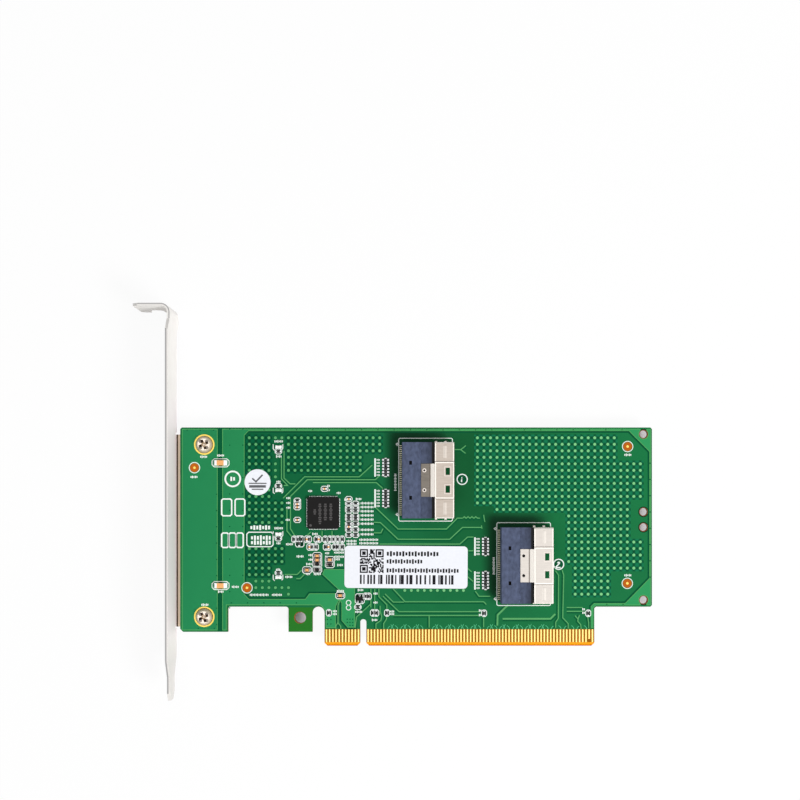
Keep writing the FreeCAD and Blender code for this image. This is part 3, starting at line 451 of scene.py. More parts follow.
# Light panels, in metres: place, side and the point that both face
OVERHEAD_PLACE = (0.02, 0.05, 1.1)
OVERHEAD_W = 0.9
SIDE_PLACE = (0.62, -0.4, 0.86)
SIDE_W = 0.4
PANEL_AIM = (0.015, 0.04, 0.0)
# Camera: sensor's width in millimetres and nearest distance in metres
SENSOR_W = 36.0
CLIP_START = 0.01
# No stretch of a pattern
EVEN = (1.0, 1.0, 1.0)
# Sockets of a Mix node that take and give colours
MIX_FIRST = 6
MIX_SECOND = 7
MIX_RESULT = 2
# Metal: size of its drift of colour in grains, and how far its roughness varies either way
METAL_DRIFT = 8
METAL_UNEVEN = 0.06


def srgb(red, green, blue):
    """Linear colour of a screen colour given from 0 to 255."""
    levels = [level / 255 for level in (red, green, blue)]
    return tuple(((v + 0.055) / 1.055) ** 2.4 if v > 0.04045 else v / 12.92 for v in levels)


def length(name, description, millimetres):
    """Length property with its default in millimetres."""
    return FloatProperty(
        name=name, description=description, default=millimetres * MM, unit="LENGTH", precision=6
    )


def colour(name, description, red, green, blue):
    """Colour property with its default as a screen colour."""
    linear = srgb(red, green, blue)
    return FloatVectorProperty(
        name=name, description=description, default=linear, size=3, subtype="COLOR", min=0.0, max=1.0
    )


def share(name, description, default):
    """Property that holds a share from 0 to 1."""
    return FloatProperty(
        name=name, description=description, default=default, subtype="FACTOR", min=0.0, max=1.0
    )


class CardSizes(bpy.types.PropertyGroup):
    """Sizes of the dressing"""
    pour_h: length("Pour height", "How far a copper pour stands out of the mask", 0.03)
    pour_edge: length("Pour edge", "Width of the lit edge of a pour", 0.16)
    pour_shade: length("Pour shade", "Width of the dark line along a pour, half of it hidden", 0.56)
    groove_h: length("Groove height", "Thickness of the dark mask in the groove", 0.01)
    dot_pitch: length("Dot pitch", "Distance between the dots of a field", 2.034)
    dot_d: length("Dot width", "Width of a dot at its top", 0.94)
    dot_base: length("Dot foot", "Width of a dot at its foot", 1.24)
    trace_w: length("Trace width", "Width of a trace", 0.3)
    clearance: length("Clearance", "How much wider than a trace its bare strip is", 0.5)
    layer: length("Layer", "Step in height from trace to trace, so that no two lie in one plane", 0.0002)
    pour_shade_h: length("Pour shade height", "Thickness of the dark line along a pour", 0.006)
    broad_w: length("Broad trace width", "Width of a pair of traces drawn as one", 0.55)
    loop_w: length("Loop width", "Width of a loop above the contacts", 0.19)
    trace_h: length("Trace height", "How far a trace stands out of the mask", 0.025)
    via_d: length("Via width", "Width of a covered via", 0.42)
    print_h: length("Print height", "Thickness of the printed ink with what lies under it", 0.05)
    print_w: length("Print line", "Width of a printed line", 0.24)
    outline_w: length("Outline width", "Width of the printed outline of a part", 0.22)
    tick_w: length("Tick width", "Width of a printed tick", 0.3)
    tick_h: length("Tick height", "Height of a printed tick", 0.78)
    tick_gap: length("Tick gap", "Gap between printed ticks", 0.16)
    target_d: length("Target width", "Bare laminate round a target's dot", 2.75)
    target_dot: length("Target dot", "Gold dot of a target", 0.8)
    target_ring: length("Target ring", "Outer width of the printed ring round a target", 3.5)
    screw_ring: length("Screw ring", "Outer width of the bare gold ring under a screw", 6.4)
    number_ring: length("Number ring", "Outer width of the ring round a port number", 3.5)
    solder_h: length("Solder height", "Height of the solder round an end", 0.14)
    stamp_h: length("Stamp height", "Thickness of print on labels and mouldings", 0.02)
    dimple_d: length("Dimple width", "Outer width of a pressed dimple in a hood's strap", 1.2)
    strap_drop: length("Strap drop", "How far a hood's strap lies below its top", 0.45)
    window_rim: length("Window rim", "Width of the raised rim round a latch window", 0.16)
    slot_contact_w: length("Slot contact width", "Width of a contact in a port's card slot", 0.32)
    slot_contact_pitch: length("Slot contact pitch", "Pitch of the contacts in a port's card slot", 0.6)
    slot_contact_l: length("Slot contact length", "Length of a contact in a port's card slot", 4.2)


class CardColours(bpy.types.PropertyGroup):
    """Colours of the finishes"""
    mask: colour("Mask", "Green mask over the bare laminate", 18, 97, 58)
    mask_far: colour("Far mask", "Mask between the ports and the dot field", 14, 80, 42)
    # Painted shadow on the mask beside the ports; its colour also draws the dark ring round a tooling hole
    port_shadow_green: colour("Port mask", "Dark mask beside the ports", 10, 48, 28)
    mask_end: colour("End mask", "Mask at the right end of the board", 22, 110, 62)
    mask_low: colour("Low mask", "Mask along the contact edge", 23, 106, 61)
    mask_dark: colour("Dark mask", "Mask over the deep part of the board", 4, 86, 50)
    halo: colour("Halo", "Mask in the shade round a dot", 2, 80, 46)
    pour: colour("Pour", "Mask over copper", 50, 152, 91)
    pour_left: colour("Left pour", "Mask over the copper beside the bracket", 34, 126, 77)
    pour_edge: colour("Pour edge", "Lit edge of a pour", 92, 170, 96)
    # Painted shade along the inner border of a pour
    pour_shade: colour("Pour shade", "Dark mask along the border of a pour", 2, 82, 50)
    field: colour("Dot field", "Mask between the dots at the far end", 20, 117, 77)
    field_left: colour("Left dot field", "Mask between the dots beside the bracket", 4, 93, 58)
    field_deep: colour("Deep field", "Mask between two dots", 0, 56, 31)
    dot: colour("Dot", "Mask over a field dot at the far end", 130, 206, 138)
    # Painted shadow round the small parts
    part_shade: colour("Part shade", "Dark mask round the small parts", 3, 48, 28)
    dot_left: colour("Left dot", "Mask over a field dot beside the bracket", 96, 174, 110)
    trace: colour("Trace", "Mask over a trace", 92, 166, 102)
    loop: colour("Loop", "Mask over the loops above the contacts", 84, 184, 132)
    hook: colour("Hook tab", "Mask over laminate without copper", 40, 116, 38)
    laminate: colour("Laminate", "Bare laminate between the contacts", 150, 92, 14)
    bevel: colour("Bevel", "Bare laminate of the bevelled edge", 240, 158, 26)
    bevel_low: colour("Bevel foot", "Bare laminate at the foot of the bevel", 196, 96, 14)
    target: colour("Target", "Bare laminate of a target", 184, 92, 12)
    hole_rim: colour("Hole rim", "Bare rim of a drilled hole", 146, 84, 52)
    edge: colour("Cut edge", "Sawn edge of the laminate", 92, 96, 40)
    ink: colour("White ink", "Printed marks of the board", 240, 246, 242)
    gold: colour("Gold", "Gold plating", 206, 178, 80)
    contact: colour("Contact", "Gold plating in the middle of a contact", 226, 200, 121)
    contact_side: colour("Contact side", "Gold plating at the sides of a contact", 138, 90, 12)
    nickel: colour("Nickel", "Plating of the bracket", 255, 250, 246)
    # Warm tint painted on the bracket beside the board, against the green light that the board throws on it
    nickel_counter_tint: colour("Warm nickel", "Plating of the bracket beside the green board", 255, 243, 248)
    nickel_edge: colour("Nickel edge", "Sheared edges of the bracket", 226, 223, 219)
    nickel_line: colour("Nickel line", "Dark outer corner of the bracket's sheet", 166, 164, 164)
    # Painted shade, in tan, on the bracket's flange below the board's end
    nickel_gap_shade: colour("Nickel gap", "Bracket between its strip and the board", 246, 230, 204)
    screw: colour("Screw", "Plating of the screws", 236, 220, 204)
    gap_line: colour("Gap line", "Shade beside the strip of the bracket", 58, 38, 26)
    # Painted shade of the screws: softer on the cross's floor and the head's rim, deeper on the cross's
    # walls, its lead-ins and in the ring round the head
    screw_soft_shade: colour("Recess floor", "Floor of a screw's cross", 178, 148, 112)
    screw_deep_shade: colour("Recess", "Deep part of a screw's cross", 44, 30, 18)
    moulding: colour("Moulding", "Blue-grey moulding of the ports", 76, 85, 110)
    # Painted shadow on the moulding under the edge of a hood and inside its blind holes
    moulding_shadow: colour("Moulding shade", "Moulding under the edge of a hood", 5, 5, 7)
    hood: colour("Hood", "Plated sheet of the hoods", 188, 181, 174)
    hood_worn: colour("Hood, dull", "Duller plating of the first hood", 165, 152, 140)
    hood_strap: colour("Hood strap", "Dull strap of the first hood", 100, 94, 86)
    # Painted highlight on a hood's edges and strips; also the light streaks of its brushed grain
    hood_highlight_and_grain: colour("Hood rim", "Bright pressed edges of a hood", 240, 234, 226)
    # Rims of the latch windows and dimples, lighter than the hood: painted highlight
    hood_lip_highlight: colour("Hood lip", "Rims of the latch windows and dimples", 216, 206, 198)
    hood_fold: colour("Hood fold", "Shade in the folds of a hood", 84, 74, 66)
    tin: colour("Tin", "Tinned ends and solder", 238, 240, 242)
    dark_end: colour("Resistor end", "Ends of the resistors, dark where they mirror the board", 26, 24, 22)
    supply_end: colour("Supply end", "Ends of the supply parts, dark where they mirror", 62, 44, 30)
    # Port leads, darkened: painted shadow of the housing
    lead: colour("Lead", "Dull port leads", 186, 182, 158)
    chip: colour("Chip", "Black moulding", 11, 10, 10)
    chip_ink: colour("Chip ink", "Faint print on the chip", 84, 82, 82)
    film: colour("Film", "Black film of the resistors", 5, 5, 5)
    ceramic: colour("Ceramic", "Tan ceramic of the capacitors", 240, 176, 112)
    lamp: colour("Lamp", "Resin of the status lamps", 246, 246, 240)
    paper: colour("Paper", "Label stock", 239, 241, 247)
    paper_ink: colour("Label ink", "Black print of the label", 22, 21, 26)
    stamp: colour("Stamp", "Grey print of the round sticker", 96, 96, 100)
    floor: colour("Floor", "Plain floor", 246, 246, 246)
    # Painted shadow on the floor below the board
    floor_shade: colour("Floor shade", "Floor below the board", 212, 204, 208)


class CardStage(bpy.types.PropertyGroup):
    """Camera, floor and lights"""
    camera_x: length("Camera X", "Camera's place along the card", 12.7)
    camera_y: length("Camera Y", "Camera's place across the card", 50.5)
    camera_height: length("Camera height", "Camera above the component face", 480.0)
    lens: FloatProperty(name="Lens", description="Focal length", default=69.2, unit="CAMERA")
    shift_x: FloatProperty(name="Shift X", description="Sideways shift of the frame", default=-0.005)
    shift_y: FloatProperty(name="Shift Y", description="Upward shift of the frame", default=0.105)
    floor_side: length("Floor side", "Side of the floor", 8000.0)
    world: share("Surroundings", "Strength of the even light", 0.2)
    overhead: FloatProperty(name="Overhead", description="Power from above", default=4.0, unit="POWER")
    side: FloatProperty(name="Side light", description="Power at the right", default=10.5, unit="POWER")
    white: share("Floor white", "Share of the floor's plain white", 0.93)
    white_under: share("White below", "Share of plain white below the board", 0.05)


def sizes():
    return bpy.context.scene.card_sizes


def colours():
    return bpy.context.scene.card_colours


class Signal:
    """A shader socket in arithmetic: each operator adds a Math node."""

    def __init__(self, finish, socket):
        self.finish = finish
        self.socket = socket

    def math(self, operation, second=0.0):
        return self.finish.math(operation, self, second)

    def __add__(self, other):
        return self.math("ADD", other)

    def __radd__(self, other):
        return self.finish.math("ADD", other, self)

    def __sub__(self, other):
        return self.math("SUBTRACT", other)

    def __rsub__(self, other):
        return self.finish.math("SUBTRACT", other, self)

    def __mul__(self, other):
        return self.math("MULTIPLY", other)

    def __rmul__(self, other):
        return self.finish.math("MULTIPLY", other, self)

    def __lt__(self, other):
        return self.math("LESS_THAN", other)

    def __gt__(self, other):
        return self.math("GREATER_THAN", other)

    def __abs__(self):
        return self.math("ABSOLUTE")


class Finish:
    """A material under construction."""

    def __init__(self, material):
        material.use_nodes = True
        self.material = material
        self.tree = material.node_tree
        self.tree.nodes.clear()

    def node(self, kind, settings=None, inputs=None, output=0):
        """Adds a node: its settings first, then the values or links of its sockets."""
        node = self.tree.nodes.new(kind)
        for key, value in (settings or {}).items():
            setattr(node, key, value)
        for key, value in (inputs or {}).items():
            self.feed(node.inputs[key], value)
        return Signal(self, node.outputs[output] if node.outputs else None)

    def feed(self, socket, value):
        """Links a signal to a socket, or sets a value or colour on it."""
        if isinstance(value, Signal):
            self.tree.links.new(value.socket, socket)
        elif socket.type == "RGBA":
            socket.default_value = tuple(value) + (1.0,)
        else:
            socket.default_value = value

    def math(self, operation, first, second):
        """Adds a Math node."""
        return self.node("ShaderNodeMath", {"operation": operation}, {0: first, 1: second})

    def place(self, stretch=EVEN):
        """Object coordinates, stretched along the axes."""
        place = self.node("ShaderNodeTexCoord", output="Object")
        if stretch == EVEN:
            return place
        return self.node("ShaderNodeMapping", inputs={"Vector": place, "Scale": stretch})

    def parts(self, vector):
        """The three parts of a vector."""
        split = self.node("ShaderNodeSeparateXYZ", inputs={"Vector": vector})
        return [Signal(self, socket) for socket in split.socket.node.outputs]

    def axes(self):
        """The three object coordinates, in metres."""
        return self.parts(self.place())

    def upright(self):
        """How far the surface's normal points up or down, from 0 to 1."""
        return abs(self.parts(self.node("ShaderNodeNewGeometry", output="Normal"))[2])

    def noise(self, grain, detail=2.0, stretch=EVEN):
        """Noise from 0 to 1 with grains of a size in metres."""
        values = {"Vector": self.place(stretch), "Scale": 1.0 / grain, "Detail": detail}
        return self.node("ShaderNodeTexNoise", inputs=values)

    def step(self, value, low, high):
        """0 below low, 1 above high and a straight line between."""
        return self.node("ShaderNodeMapRange", inputs={"Value": value, "From Min": low, "From Max": high})

    def rise(self, value, span):
        """0 before a span in millimetres, 1 past it and a straight line between."""
        return self.step(value, span[0] * MM, span[1] * MM)

    def mix(self, factor, first, second):
        """Mix of two colours."""
        inputs = {0: factor, MIX_FIRST: first, MIX_SECOND: second}
        return self.node("ShaderNodeMix", {"data_type": "RGBA"}, inputs, MIX_RESULT)

    def shade(self, base, low, high, grain, detail=2.0, stretch=EVEN):
        """A colour that drifts between a darker and a lighter form of itself."""
        drift = self.noise(grain, detail, stretch)
        dark = tuple(c * low for c in base)
        light = tuple(min(c * high, 1.0) for c in base)
        return self.mix(drift, dark, light)

    def bump(self, height, distance):
        """Normal of a surface with a height in units of the distance."""
        return self.node("ShaderNodeBump", inputs={"Height": height, "Distance": distance, "Strength": 1.0})

    def surface(self, **sockets):
        """Principled surface with the given sockets."""
        inputs = {}
        for key, value in sockets.items():
            inputs[key.replace("_", " ").title().replace("Ior", "IOR")] = value
        shader = self.node("ShaderNodeBsdfPrincipled", inputs=inputs)
        self.node("ShaderNodeOutputMaterial", inputs={"Surface": shader})
        return self.material


def new_finish(name):
    return Finish(bpy.data.materials.new(name))


def band(value, low, high):
    """1 between two places in millimetres."""
    return (value > low * MM) * (value < high * MM)


def squared(across, along):
    """Squared distance, from its two parts."""
    return across * across + along * along


def vary(noise, low, high):
    """A value that varies with a noise, from low to high."""
    return low + noise * (high - low)


def painted_port_shadow(finish, x, y, port):
    """1 where shadow is painted on the mask beside a port, fading out round it."""
    low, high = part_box("port_%d_housing" % port)
    from_left = x - low.x
    along = finish.rise(from_left, PORT_SHADE_START) * (1.0 - finish.rise(from_left, PORT_SHADE_END))
    across = finish.rise(y - low.y, PORT_SHADE_LOW) * (1.0 - finish.rise(y - high.y, PORT_SHADE_HIGH))
    return along * across


def board_green(finish, x, y, cloud):
    """Colour of the board's mask, with painted shadow beside the ports, the hook tab and the rims of the
    holes.
    """
    c = colours()
    green = finish.mix(finish.rise(x, DEEP_TO_PLAIN), c.mask_dark, c.mask)
    green = finish.mix(finish.rise(x, PLAIN_TO_FAR), green, c.mask_far)
    green = finish.mix(finish.rise(x, FAR_TO_END), green, c.mask_end)
    green = finish.mix((1.0 - finish.rise(y, LOW_TO_PLAIN)) * LOW_SHARE, green, c.mask_low)
    for port in (1, 2):
        green = finish.mix(painted_port_shadow(finish, x, y, port) * PORT_SHADE_SHARE, green, c.port_shadow_green)
    green = finish.mix(cloud * MASK_CLOUD, green, c.pour)
    green = finish.mix(band(x, *HOOK_X) * (y < HOOK_Y[1] * MM), green, c.hook)
    # The dark ring round a tooling hole takes the colour of the painted port shadow
    for holes, rim, tint in ((TOOLING_HOLES, HOLE_RING, c.port_shadow_green), (OPEN_HOLES, HOLE_RIM, c.hole_rim)):
        for hole_x, hole_y, width in holes:
            reach = squared(x - hole_x * MM, y - hole_y * MM)
            green = finish.mix(reach < ((width / 2 + rim) * MM) ** 2, green, tint)
    return green


def board_finish():
    """Solder mask, with bare laminate on the contact tongues and on cut edges."""
    c = colours()
    finish = new_finish("solder_mask")
    x, y = finish.axes()[:2]
    cloud = finish.noise(grain=9 * MM, detail=3.0)
    weave = finish.noise(grain=0.5 * MM)
    bevel = finish.mix(y < BEVEL_FOOT * MM, c.bevel, c.bevel_low)
    bare = finish.mix(y < BEVEL_TOP * MM, c.laminate, bevel)
    bare = finish.mix(band(x, *SHORT_CONTACT_X) * band(y, *SHORT_CONTACT_Y), bare, c.target)
    on_tongue = (y < TONGUE_TOP * MM) * band(x, *TONGUES)
    skin = finish.mix(on_tongue, board_green(finish, x, y, cloud), bare)
    cut = finish.upright() < EDGE_BELOW
    skin = finish.mix(cut, skin, finish.mix(weave, c.edge, c.laminate))
    rough = vary(cloud, low=0.34, high=0.44) + cut * CUT_ROUGHER
    relief = finish.bump(weave, distance=0.004 * MM)
    return finish.surface(base_color=skin, roughness=rough, specular_ior_level=MASK_SPECULAR, normal=relief)


def mask_surface(finish, skin):
    """Solder mask over copper, of a colour."""
    relief = finish.bump(finish.noise(grain=0.4 * MM), distance=0.003 * MM)
    return finish.surface(base_color=skin, roughness=0.36, specular_ior_level=MASK_SPECULAR, normal=relief)


def mask_finish(name, base):
    """Solder mask of one colour."""
    finish = new_finish(name)
    return mask_surface(finish, finish.shade(base, low=0.9, high=1.08, grain=7 * MM, detail=3.0))


def drifting_finish(name, left, right, span):
    """Solder mask whose colour drifts along the card."""
    finish = new_finish(name)
    skin = finish.mix(finish.rise(finish.axes()[0], span), left, right)
    cloud = finish.noise(grain=7 * MM, detail=3.0)
    return mask_surface(finish, finish.mix(cloud * COPPER_CLOUD, skin, colours().mask))


def field_finish():
    """Mask of the dot fields, darker between two dots than between four."""
    c = colours()
    finish = new_finish("masked_field")
    places = finish.axes()[:2]
    turn = 2 * math.pi / sizes().dot_pitch
    waves = [((place - first * MM) * turn).math("COSINE") for place, first in zip(places, DOT_FIRST)]
    between = finish.step(0.0 - waves[0] * waves[1], *BETWEEN_DOTS)
    skin = finish.mix(finish.rise(places[0], FIELD_DRIFT), c.field_left, c.field)
    return mask_surface(finish, finish.mix(between * DEEP_SHARE, skin, c.field_deep))


def ink_finish(name, base):
    """Printed ink, slightly uneven."""
    finish = new_finish(name)
    skin = finish.shade(base, low=0.94, high=1.03, grain=0.8 * MM)
    return finish.surface(base_color=skin, roughness=0.6, specular_ior_level=0.1)


def metal_finish(name, base, rough, grain, metallic):
    """Plated metal with a fine grain."""
    finish = new_finish(name)
    speck = finish.noise(grain, detail=3.0)
    skin = finish.shade(base, low=0.93, high=1.04, grain=grain * METAL_DRIFT)
    relief = finish.bump(speck, distance=0.002 * MM)
    uneven = vary(speck, low=rough - METAL_UNEVEN, high=rough + METAL_UNEVEN)
    return finish.surface(base_color=skin, roughness=uneven, metallic=metallic, normal=relief)


def contact_finish():
    """Gold contacts, bright along their middle; their pitch is one millimetre."""
    c = colours()
    finish = new_finish("contact_gold")
    off = abs((finish.axes()[0] * (1 / MM)).math("FRACT") - 0.5)
    skin = finish.mix(finish.step(off, *CONTACT_MIDDLE), c.contact, c.contact_side)
    wear = finish.noise(grain=0.3 * MM, detail=3.0, stretch=(1.0, 0.06, 1.0))
    relief = finish.bump(wear, distance=0.002 * MM)
    rough = vary(wear, low=0.26, high=0.36)
    return finish.surface(base_color=skin, roughness=rough, metallic=0.7, normal=relief)


def tab_outline(x, y, board_left):
    """1 along the outer side of the bracket's tab and round its bend."""
    bend_x = (x - board_left + (BRACKET_GAP + BEND_RADIUS) * MM).math("MAXIMUM")
    bend_y = (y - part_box("bracket")[1].y + BEND_RADIUS * MM).math("MAXIMUM")
    return squared(bend_x, bend_y) > ((BEND_RADIUS - OUTLINE_W) * MM) ** 2


def bracket_finish():
    """Nickel plate, dull on sheared edges, tan with painted shade where the board shades it, and with a
    painted warm tint beside the board against its green light.
    """
    c = colours()
    finish = new_finish("bracket_nickel")
    x, y, z = finish.axes()
    board_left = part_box("board")[0].x
    brush = finish.noise(grain=0.25 * MM, detail=3.0, stretch=(1.0, 0.06, 1.0))
    skin = finish.shade(c.nickel, low=0.92, high=1.03, grain=4 * MM)
    inner_face = x > board_left - (BRACKET_GAP + SLACK) * MM
    counter_tint = inner_face * (1.0 - finish.rise(y, WARM_HIGH)) * finish.rise(y, WARM_LOW)
    skin = finish.mix(counter_tint, skin, c.nickel_counter_tint)
    on_foot = 1.0 - finish.rise(y, FOOT_TO_PLAIN)
    skin = finish.mix(on_foot * vary(brush, low=0.6, high=1.0), skin, c.nickel_edge)
    sheared = finish.upright() > FLAT_ABOVE
    skin = finish.mix(sheared * vary(brush, low=0.75, high=0.95), skin, c.nickel_edge)
    on_strip = sheared * (z > FACE) * (y < NECK_START * MM)
    skin = finish.mix(on_strip * (x < board_left - STRIP_LINE * MM), skin, c.nickel_line)
    on_tab = sheared * (y > NECK_START * MM)
    skin = finish.mix(on_tab * tab_outline(x, y, board_left), skin, c.nickel_line)
    beside = (z < FACE) * (x < board_left)
    skin = finish.mix(beside * (x > board_left - SHADED_GAP * MM), skin, c.gap_line)
    skin = finish.mix(beside * finish.rise(x - board_left, TAN_GAP), skin, c.nickel_gap_shade)
    relief = finish.bump(brush, distance=0.002 * MM)
    rough = vary(brush, low=0.45, high=0.57)
    return finish.surface(base_color=skin, roughness=rough, metallic=0.05, specular_ior_level=0.15,
                          normal=relief)


def screw_finish():
    """Nickel plate with painted shade in its cross, on its lead-ins and on the head's rim; the two screws
    are mirrored onto one.
    """
    c = colours()
    finish = new_finish("screw_nickel")
    x, y, z = finish.axes()
    low, high = SCREWS
    across = x - low[0] * MM
    along = abs(y - (low[1] + high[1]) / 2 * MM) - (high[1] - low[1]) / 2 * MM
    reach = squared(across, along)
    rim = finish.step(reach, (HEAD_RIM[0] * MM) ** 2, (HEAD_RIM[1] * MM) ** 2)
    head = finish.shade(c.screw, low=0.9, high=1.04, grain=1 * MM)
    skin = finish.mix(rim * HEAD_RIM_SHARE, head, c.screw_soft_shade)
    from_lobe = squared(abs(across) - RECESS_LOBE * MM, abs(along) - RECESS_LOBE * MM)
    skin = finish.mix((from_lobe < (RECESS_LOBE_R * MM) ** 2) * RECESS_LOBE_SHARE, skin, c.screw_deep_shade)
    cross = finish.mix(finish.upright() > FLAT_ABOVE, c.screw_deep_shade, c.screw_soft_shade)
    in_cross = (reach > (RECESS_R[0] * MM) ** 2) * (reach < (RECESS_R[1] * MM) ** 2)
    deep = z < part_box("bracket_screws")[1].z - SLACK * MM
    skin = finish.mix(in_cross * deep, skin, cross)
    return finish.surface(base_color=skin, roughness=0.34, metallic=0.2)


def port_axes(finish):
    """Distance from a port's rear face, distance from its middle line, and 1 on the second port."""
    x, y = finish.axes()[:2]
    (first, second), (low, high) = (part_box("port_%d_housing" % port) for port in (1, 2))
    on_second = x > low.x - PORT_SPLIT * MM
    middle = (first.y + second.y) / 2
    shift = (low.y + high.y) / 2 - middle
    return x - first.x - on_second * (low.x - first.x), abs(y - middle - on_second * shift), on_second


def moulded_relief(finish):
    """Fine grain of a moulded surface."""
    return finish.bump(finish.noise(grain=0.12 * MM, detail=3.0), distance=0.01 * MM)


def housing_finish():
    """Mottled moulding with painted shadow that darkens it towards the hood and in its blind holes."""
    c = colours()
    finish = new_finish("port_moulding")
    depth, across = port_axes(finish)[:2]
    skin = finish.shade(c.moulding, low=0.3, high=1.7, grain=0.9 * MM, detail=5.0, stretch=(1.0, 0.6, 1.0))
    # Painted shadow of the hood on the housing
    under = finish.rise(depth, HOUSING_STEP) * STEP_SHARE + finish.rise(depth, HOUSING_DIVE) * DIVE_SHARE
    under = under + (depth > HOUSING_DARK * MM) * DARK_SHARE
    skin = finish.mix(under, skin, c.moulding_shadow)
    below_top = finish.axes()[2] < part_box("port_1_housing")[1].z - SLACK * MM
    pit = band(depth, *PICK_HOLE_DEPTH) * band(across, *PICK_HOLE_ACROSS)
    skin = finish.mix(pit * below_top, skin, c.moulding_shadow)
    relief = moulded_relief(finish)
    return finish.surface(base_color=skin, roughness=0.62, specular_ior_level=0.15, normal=relief)


def hood_finish():
    """Plated sheet with painted highlights on its edges and strips and painted shade in its folds, duller on
    the first port and dullest on its strap.
    """
    c = colours()
    finish = new_finish("hood_plating")
    depth, across, on_second = port_axes(finish)
    brush = finish.noise(grain=0.3 * MM, detail=3.0, stretch=(0.1, 1.0, 1.0))
    skin = finish.mix(on_second, c.hood_worn, c.hood)
    skin = finish.mix(brush * BRUSH_SHARE, skin, c.hood_highlight_and_grain)
    on_strap = (depth < STRAP_END * MM) * (1.0 - on_second)
    skin = finish.mix(on_strap * vary(brush, low=0.7, high=1.1), skin, c.hood_strap)
    skin = finish.mix(band(depth, *HOOD_FOLD) * FOLD_SHARE, skin, c.hood_fold)
    edges = [band(depth, *span) for span in HOOD_EDGES] + [band(across, *span) for span in HOOD_SIDES]
    skin = finish.mix(sum(edges).math("MINIMUM", EDGE_SHARE), skin, c.hood_highlight_and_grain)
    skin = finish.mix(band(across, *SIDE_FOLD) * SIDE_FOLD_SHARE, skin, c.hood_fold)
    on_strip = band(depth, *HOOD_STRIP_DEPTH) * band(across, *HOOD_STRIP_ACROSS)
    skin = finish.mix(on_strip * STRIP_SHARE, skin, c.hood_highlight_and_grain)
    relief = finish.bump(brush, distance=0.002 * MM)
    return finish.surface(base_color=skin, roughness=0.42, metallic=0.25, specular_ior_level=0.2,
                          normal=relief)


def moulded_finish(name, base, low, high, grain, rough):
    """Moulded plastic or ceramic with a mottled colour and a fine grain."""
    finish = new_finish(name)
    skin = finish.shade(base, low, high, grain, detail=4.0)
    relief = moulded_relief(finish)
    return finish.surface(base_color=skin, roughness=rough, specular_ior_level=0.12, normal=relief)


def make_finishes():
    """All finishes of the card by name."""
    c = colours()
    return {
        "board": board_finish(),
        "pour": drifting_finish("masked_pour", c.pour_left, c.pour, POUR_DRIFT),
        "pour_edge": mask_finish("masked_pour_edge", c.pour_edge),
        "field": field_finish(),
        "groove": mask_finish("masked_groove", c.mask_dark),
        "pour_shade": mask_finish("masked_pour_shade", c.pour_shade),
        "halo": mask_finish("masked_halo", c.halo),
        "part_shade": mask_finish("masked_part_shade", c.part_shade),
        "dot": drifting_finish("masked_dot", c.dot_left, c.dot, FIELD_DRIFT),
        "trace": mask_finish("masked_trace", c.trace),
        "loop": mask_finish("masked_loop", c.loop),
        "ink": ink_finish("white_ink", c.ink),
        "target": ink_finish("target_laminate", c.target),
        # Ring round each screw head: painted shadow
        "seat": ink_finish("screw_shadow_ring", c.screw_deep_shade),
        "gold": metal_finish("gold_plating", c.gold, rough=0.3, grain=0.3 * MM, metallic=0.6),
        "contact": contact_finish(),
        "bracket": bracket_finish(),
        "screw": screw_finish(),
        "hood": hood_finish(),
        "rim": metal_finish("hood_rims", c.hood_lip_highlight, rough=0.42, grain=0.3 * MM, metallic=0.25),
        "tin": metal_finish("tinned_ends", c.tin, rough=0.4, grain=0.2 * MM, metallic=0.15),
        "dark_end": metal_finish("resistor_ends", c.dark_end, rough=0.5, grain=0.2 * MM, metallic=0.1),
        "supply_end": metal_finish("supply_ends", c.supply_end, rough=0.35, grain=0.2 * MM, metallic=0.3),
        # Port leads: painted shadow of the housing
        "lead": metal_finish("port_leads", c.lead, rough=0.4, grain=0.2 * MM, metallic=0.4),
        "moulding": housing_finish(),
        "chip": moulded_finish("chip_moulding", c.chip, 0.8, 1.2, grain=0.5 * MM, rough=0.6),
        "chip_ink": ink_finish("chip_ink", c.chip_ink),
        "film": moulded_finish("resistor_film", c.film, 0.8, 1.2, grain=0.4 * MM, rough=0.4),
        "ceramic": moulded_finish("capacitor_ceramic", c.ceramic, 0.9, 1.06, grain=0.5 * MM, rough=0.5),
        "lamp": moulded_finish("lamp_resin", c.lamp, 0.94, 1.02, grain=0.5 * MM, rough=0.3),
        "paper": ink_finish("label_paper", c.paper),
        "paper_ink": ink_finish("label_ink", c.paper_ink),
        "stamp": ink_finish("sticker_ink", c.stamp),
    }


# Finishes by name, filled by the operator that makes them
FINISHES = {}
# Finish of each material slot of the solids, and of the nodes that differ from their slot
SLOT_FINISHES = {
    "board": "board", "gold": "contact", "bracket_steel": "bracket", "screw_steel": "screw",
    "port_plastic": "moulding", "hood_steel": "hood", "tin": "tin", "chip_plastic": "chip",
    "resistor_film": "film", "capacitor_ceramic": "ceramic", "lamp_resin": "lamp", "label_paper": "paper",
}
NODE_FINISHES = {
    "port_1_leads": "lead", "port_2_leads": "lead",
    "supply_capacitor_ends": "supply_end", "ferrite_bead_ends": "supply_end",
    "resistor_ends": "dark_end", "coupling_ends": "dark_end",
}


def keep(name, bm, slot, *finishes):
    """Turns a bmesh into a piece that rides with the card."""
    bmesh.ops.recalc_face_normals(bm, faces=bm.faces)
    mesh = bpy.data.meshes.new(name)
    bm.to_mesh(mesh)
    bm.free()
    for finish in finishes:
        mesh.materials.append(FINISHES[finish])
    piece = bpy.data.objects.new(name, mesh)
    bpy.context.scene.collection.objects.link(piece)
    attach(piece, "root")


def kind_of(geometry, kind):
    return [item for item in geometry if isinstance(item, kind)]


